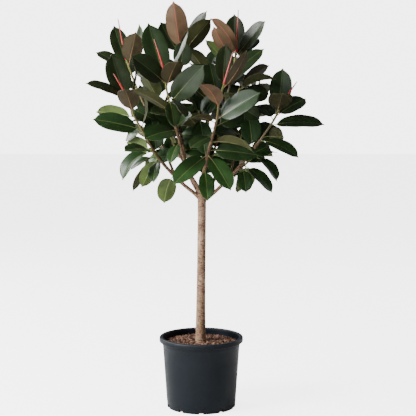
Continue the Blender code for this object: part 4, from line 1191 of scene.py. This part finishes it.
def leaf_marks(shape, marks, young, tone):
    """Give the points just made the leaf's own age and tone."""
    fresh = len(shape.verts) - len(marks["young"])
    marks["young"] += [young] * fresh
    marks["tone"] += [tone] * fresh
    marks["stem_age"] += [0.2] * fresh


def from_leaf(tree, name):
    """A value kept on the leaf's points."""
    return node(tree, "Attribute", attribute_name=name).outputs["Fac"]


def veins(tree):
    """Fine side veins, close together and nearly square to the midrib."""
    across = sum_of(tree, "ABSOLUTE", from_leaf(tree, "across"))
    slant = sum_of(tree, "MULTIPLY_ADD", across, -0.42, from_leaf(tree, "along"))
    wander = sum_of(tree, "MULTIPLY", grain(tree, 60.0, 2.0), 0.004)
    turn = sum_of(tree, "MULTIPLY", sum_of(tree, "ADD", slant, wander), 2 * math.pi / 0.0075)
    crest = sum_of(tree, "MULTIPLY_ADD", sum_of(tree, "COSINE", turn), 0.5, 0.5)
    return sum_of(tree, "POWER", crest, 5.0)


def rib(tree, width):
    """One at the midrib, fading to nothing a width away."""
    across = sum_of(tree, "ABSOLUTE", from_leaf(tree, "across"))
    taper = sum_of(tree, "MULTIPLY_ADD", from_leaf(tree, "along"), -2.6, 1.0)
    reach = sum_of(tree, "MULTIPLY", sum_of(tree, "MAXIMUM", taper, 0.35), width)
    near = sum_of(tree, "DIVIDE", across, reach)
    return ramp(tree, near, ((0.45, 1.0), (1.0, 0.0)))


def upper_finish():
    """Very dark glossy green, a little lighter on older leaves, with a pale midrib."""
    made, tree, surface = new_finish(
        "leaf_upper", (0.012, 0.035, 0.010), 0.42, Specular_IOR_Level=0.34,
        Coat_Weight=0.10, Coat_Roughness=0.20)
    tone = from_leaf(tree, "tone")
    green = ramp(tree, tone, ((0.0, (0.0120, 0.0185, 0.0045)), (0.5, (0.014, 0.040, 0.009)),
                              (1.0, (0.038, 0.105, 0.020))))
    cloud = ramp(tree, grain(tree, 22.0, 4.0), ((0.30, 0.75), (0.70, 1.25)))
    green = mixed(tree, 1.0, green, cloud, "MULTIPLY")
    vein = veins(tree)
    green = mixed(tree, sum_of(tree, "MULTIPLY", vein, 0.10), green, (0.060, 0.130, 0.050))
    middle = rib(tree, 0.0017)
    pale = ramp(tree, tone, ((0.0, (0.060, 0.075, 0.030)), (1.0, (0.230, 0.300, 0.090))))
    green = mixed(tree, middle, green, pale)
    tree.links.new(green, surface.inputs["Base Color"])
    sheen = ramp(tree, grain(tree, 70.0, 4.0), ((0.3, 0.36), (0.7, 0.47)))
    tree.links.new(sheen, surface.inputs["Roughness"])
    fine = relief(tree, surface, grain(tree, 900.0, 2.0), 0.00010)
    relief(tree, surface, vein, -0.00012, fine)
    return made


def under_finish():
    """Matte below: pinkish brown while young, then olive, then green."""
    made, tree, surface = new_finish(
        "leaf_under", (0.090, 0.090, 0.035), 0.55, Specular_IOR_Level=0.30)
    young = from_leaf(tree, "young")
    colour = ramp(tree, young, ((0.00, (0.062, 0.100, 0.016)), (0.33, (0.040, 0.044, 0.010)),
                                (0.66, (0.029, 0.026, 0.008)), (1.00, (0.115, 0.066, 0.034))))
    cloud = ramp(tree, grain(tree, 26.0, 4.0), ((0.30, 0.80), (0.70, 1.20)))
    colour = mixed(tree, 1.0, colour, cloud, "MULTIPLY")
    vein = veins(tree)
    colour = mixed(tree, sum_of(tree, "MULTIPLY", vein, 0.10), colour, (0.160, 0.150, 0.060))
    middle = rib(tree, 0.0026)
    line = ramp(tree, young, ((0.0, (0.200, 0.250, 0.080)), (0.45, (0.110, 0.105, 0.035)),
                              (0.75, (0.130, 0.085, 0.035)), (1.0, (0.360, 0.095, 0.060))))
    colour = mixed(tree, middle, colour, line)
    tree.links.new(colour, surface.inputs["Base Color"])
    fine = relief(tree, surface, grain(tree, 1100.0, 3.0), 0.00015)
    relief(tree, surface, vein, 0.00020, fine)
    return made


def edge_finish():
    """The thin translucent margin of the blade, paler than either side."""
    made, tree, surface = new_finish("leaf_edge", (0.230, 0.270, 0.110), 0.45)
    young = from_leaf(tree, "young")
    colour = ramp(tree, young, ((0.0, (0.170, 0.240, 0.080)), (1.0, (0.330, 0.200, 0.130))))
    shade = ramp(tree, grain(tree, 90.0, 3.0), ((0.3, 0.65), (0.7, 1.15)))
    tree.links.new(mixed(tree, 1.0, colour, shade, "MULTIPLY"), surface.inputs["Base Color"])
    return made


def stalk_finish():
    """Stalks and midribs: yellow-green when old, flushed red when young."""
    made, tree, surface = new_finish("leaf_stalk", (0.250, 0.270, 0.080), 0.42)
    young = from_leaf(tree, "young")
    colour = ramp(tree, young, ((0.0, (0.230, 0.290, 0.085)), (0.5, (0.250, 0.210, 0.080)),
                                (1.0, (0.380, 0.110, 0.075))))
    shade = ramp(tree, grain(tree, 160.0, 3.0), ((0.3, 0.75), (0.7, 1.15)))
    tree.links.new(mixed(tree, 1.0, colour, shade, "MULTIPLY"), surface.inputs["Base Color"])
    relief(tree, surface, grain(tree, 500.0, 3.0), 0.0003)
    return made


LEAF_FINISHES = [upper_finish(), under_finish(), edge_finish(), stalk_finish(), shoot_finish()]
GREEN_STEM = 4
YOUNG = {"g": 0.0, "o": 0.33, "b": 0.66, "p": 1.0}


def grow_leaf(shape, marks, stem, values, under):
    """One leaf, with its own tone: the lower it grows, the greener."""
    base, settled = settle(stem, values)
    draw = random.Random(int(1e4 * base.z + 1e3 * base.x + 1e5 * values["along"]))
    low = max(0.0, min(1.0, (1.30 - base.z) / 0.30))
    if under is None:
        under = "g" if low > 0.75 else "o"
    young = YOUNG[under] + draw.uniform(-0.10, 0.10)
    tone = max(0.0, min(1.0, 0.12 + 0.62 * low + draw.uniform(-0.12, 0.14)))
    loft_blade(shape, base, settled, draw, marks)
    loft_stalk(shape, base, settled, marks)
    leaf_marks(shape, marks, young, tone)


def loft_green_stem(shape, name, marks):
    """A shoot's stem, swollen in a ring at each of its leaves."""
    places, radii = fine_stem(name, 0.0025)
    length = sum((b - a).length for a, b in zip(places, places[1:]))
    rings = [values["along"] * length for values in LEAVES[name]]
    rings += [length * share for share in (0.06, 0.13, 0.20)]
    so_far = 0.0
    for index in range(len(places)):
        if index:
            so_far += (places[index] - places[index - 1]).length
        for ring in rings:
            radii[index] += 0.0007 * bell(so_far - ring, 0.0022)
    sides = 14
    first = len(shape.faces)
    ring_loft(shape, places, radii, sides)
    shape.faces.ensure_lookup_table()
    for face in shape.faces[first:]:
        face.material_index = GREEN_STEM
    fresh = sides * len(places)
    marks["across"] += [0.0] * fresh
    marks["along"] += [0.0] * fresh
    marks["young"] += [0.3] * fresh
    marks["tone"] += [0.5] * fresh
    for index in range(len(places)):
        marks["stem_age"] += [1.0 - 0.95 * index / (len(places) - 1)] * sides


def foliage_piece(name, shape, marks):
    mesh = bpy.data.meshes.new(name)
    bmesh.ops.recalc_face_normals(shape, faces=shape.faces[:])
    shape.to_mesh(mesh)
    shape.free()
    for mark, values in marks.items():
        add_values(mesh, mark, values)
    for look in LEAF_FINISHES:
        mesh.materials.append(look)
    mesh.shade_smooth()
    mesh.set_sharp_from_angle(angle=math.radians(50.0))
    return new_piece(name, mesh)


def new_marks():
    return {"across": [], "along": [], "young": [], "tone": [], "stem_age": []}


for shoot_name in SHEATHS:
    STEMS[shoot_name.replace("shoot", "bud_sheath")] = bud_route(shoot_name)
for stem_name, (stem_route, stem_radii) in STEMS.items():
    GROWN.append((stem_name, stem_tree(stem_route, stem_radii)))
for leaf_name, (limb_name, leaf_values) in WOOD_LEAVES.items():
    leaf_shape, leaf_notes = bmesh.new(), new_marks()
    grow_leaf(leaf_shape, leaf_notes, limb_name, leaf_values, None)
    finish_piece(foliage_piece(leaf_name.replace("leaf", "blade"), leaf_shape, leaf_notes),
                 [leaf_name], None)
for shoot_name in SHOOTS:
    leaf_shape, leaf_notes = bmesh.new(), new_marks()
    loft_green_stem(leaf_shape, shoot_name, leaf_notes)
    under_sides = UNDERSIDES.get(shoot_name)
    for leaf_index, leaf_values in enumerate(LEAVES[shoot_name]):
        grow_leaf(leaf_shape, leaf_notes, shoot_name, leaf_values,
                  under_sides[leaf_index] if under_sides else None)
    finish_piece(foliage_piece(shoot_name.replace("shoot", "foliage"), leaf_shape, leaf_notes),
                 [shoot_name], None)


# ------------------------------------------------------------------------- the bud sheaths
# A pointed sheath wraps the next leaf at the tip of each growing shoot. It is waxy, bright
# red at its foot and duller towards its tip, with fine pleats along it.


def sheath_finish():
    made, tree, surface = new_finish("bud_sheath", (0.520, 0.045, 0.045), 0.42)
    tip = node(tree, "Attribute", attribute_name="to_tip").outputs["Fac"]
    colour = ramp(tree, tip, ((0.0, (0.560, 0.030, 0.040)), (0.55, (0.480, 0.050, 0.045)),
                              (1.0, (0.330, 0.130, 0.100))))
    shade = ramp(tree, grain(tree, 200.0, 4.0, (1.0, 1.0, 0.3)), ((0.3, 0.75), (0.7, 1.15)))
    tree.links.new(mixed(tree, 1.0, colour, shade, "MULTIPLY"), surface.inputs["Base Color"])
    relief(tree, surface, grain(tree, 700.0, 3.0, (1.0, 1.0, 0.15)), 0.0005)
    return made


def make_sheath(shoot, look):
    """A long thin cone, pleated, drawn in at its foot and fine at its tip."""
    places, radii = fine_stem(shoot.replace("shoot", "bud_sheath"), 0.003)
    shape = bmesh.new()
    loops = ring_loft(shape, places, radii, 16)
    to_tip = []
    for index, loop in enumerate(loops):
        share = index / (len(loops) - 1)
        swell = 1.42 + 0.20 * bell(share - 0.16, 0.16) + 0.70 * share
        for k, point in enumerate(loop):
            pleat = 1.0 + 0.07 * math.cos(5 * 2 * math.pi * k / 16) * (1 - share)
            point.co = places[index] + (point.co - places[index]) * swell * pleat
            to_tip.append(share)
    name = shoot.replace("shoot", "bud")
    mesh = bpy.data.meshes.new(name)
    shape.to_mesh(mesh)
    shape.free()
    add_values(mesh, "to_tip", to_tip)
    mesh.shade_smooth()
    finish_piece(new_piece(name, mesh), [shoot.replace("shoot", "bud_sheath")], look)


red_wax = sheath_finish()
for shoot_name in SHEATHS:
    make_sheath(shoot_name, red_wax)


# --------------------------------------------------------------- the floor, light and camera
# A plain white studio: a pale floor that glows white to the camera alone, white all round, a
# broad soft light on the left, a wide weaker one in front, one behind on the left for the
# sheen, and a faint one on the right.
FLOOR_SEEN = 3.9
FLOOR_CAST = 0.05


def stage_floor():
    made, tree, surface = new_finish("studio_floor", (0.92, 0.92, 0.92), 0.85)
    mottle = ramp(tree, grain(tree, 3.0, 2.0), ((0.3, 0.985), (0.7, 1.0)))
    colour = mixed(tree, 1.0, (0.90, 0.90, 0.90), mottle, "MULTIPLY")
    tree.links.new(colour, surface.inputs["Base Color"])
    surface.inputs["Emission Color"].default_value = (1.0, 1.0, 1.0, 1.0)
    from_camera = node(tree, "LightPath").outputs["Is Camera Ray"]
    seen = sum_of(tree, "MULTIPLY_ADD", from_camera, FLOOR_SEEN, FLOOR_CAST)
    tree.links.new(seen, surface.inputs["Emission Strength"])
    shape = bmesh.new()
    bmesh.ops.create_grid(shape, x_segments=8, y_segments=8, size=14.0)
    mesh = bpy.data.meshes.new("studio_floor")
    shape.to_mesh(mesh)
    shape.free()
    mesh.materials.append(made)
    floor = new_piece("studio_floor", mesh)
    floor.location.z = -0.0005


def soft_light(name, place, aim, size, power):
    light = bpy.data.lights.new(name, "AREA")
    light.shape = "SQUARE"
    light.size = size
    light.energy = power
    made = bpy.data.objects.new(name, light)
    made.location = place
    made.rotation_euler = (Vector(aim) - Vector(place)).to_track_quat("-Z", "Y").to_euler()
    bpy.context.scene.collection.objects.link(made)


def white_room(seen, cast):
    """White behind the plant, and a dimmer, even light from all round."""
    world = bpy.data.worlds.new("white_room")
    world.use_nodes = True
    bpy.context.scene.world = world
    tree = world.node_tree
    plain = tree.nodes["Background"]
    plain.inputs[0].default_value = (1.0, 1.0, 1.0, 1.0)
    plain.inputs[1].default_value = cast
    bright = node(tree, "Background", {0: (1.0, 1.0, 1.0, 1.0), 1: seen})
    by_ray = node(tree, "MixShader", {
        0: node(tree, "LightPath").outputs["Is Camera Ray"],
        1: plain.outputs[0], 2: bright.outputs[0]})
    tree.links.new(by_ray.outputs[0], tree.nodes["World Output"].inputs[0])


stage_floor()
white_room(4.8, 0.11)
soft_light("key_light", (-3.6, -1.9, 2.6), (0.0, 0.0, 1.0), 2.1, 440.0)
soft_light("front_light", (-2.3, -4.6, 3.4), (0.0, 0.0, 0.9), 3.4, 85.0)
soft_light("back_light", (-2.8, 2.6, 3.0), (0.0, 0.0, 1.1), 1.8, 130.0)
soft_light("right_light", (3.4, 2.6, 1.8), (0.0, 0.0, 1.0), 1.4, 35.0)

view = bpy.data.cameras.new("view")
view.sensor_width = 36.0
view.lens = 108.9
eye = bpy.data.objects.new("view", view)
eye.location = (0.029, -5.300, 1.500)
eye.rotation_euler = (math.radians(90.0 - 6.9), 0.0, 0.0)
bpy.context.scene.collection.objects.link(eye)
bpy.context.scene.camera = eye
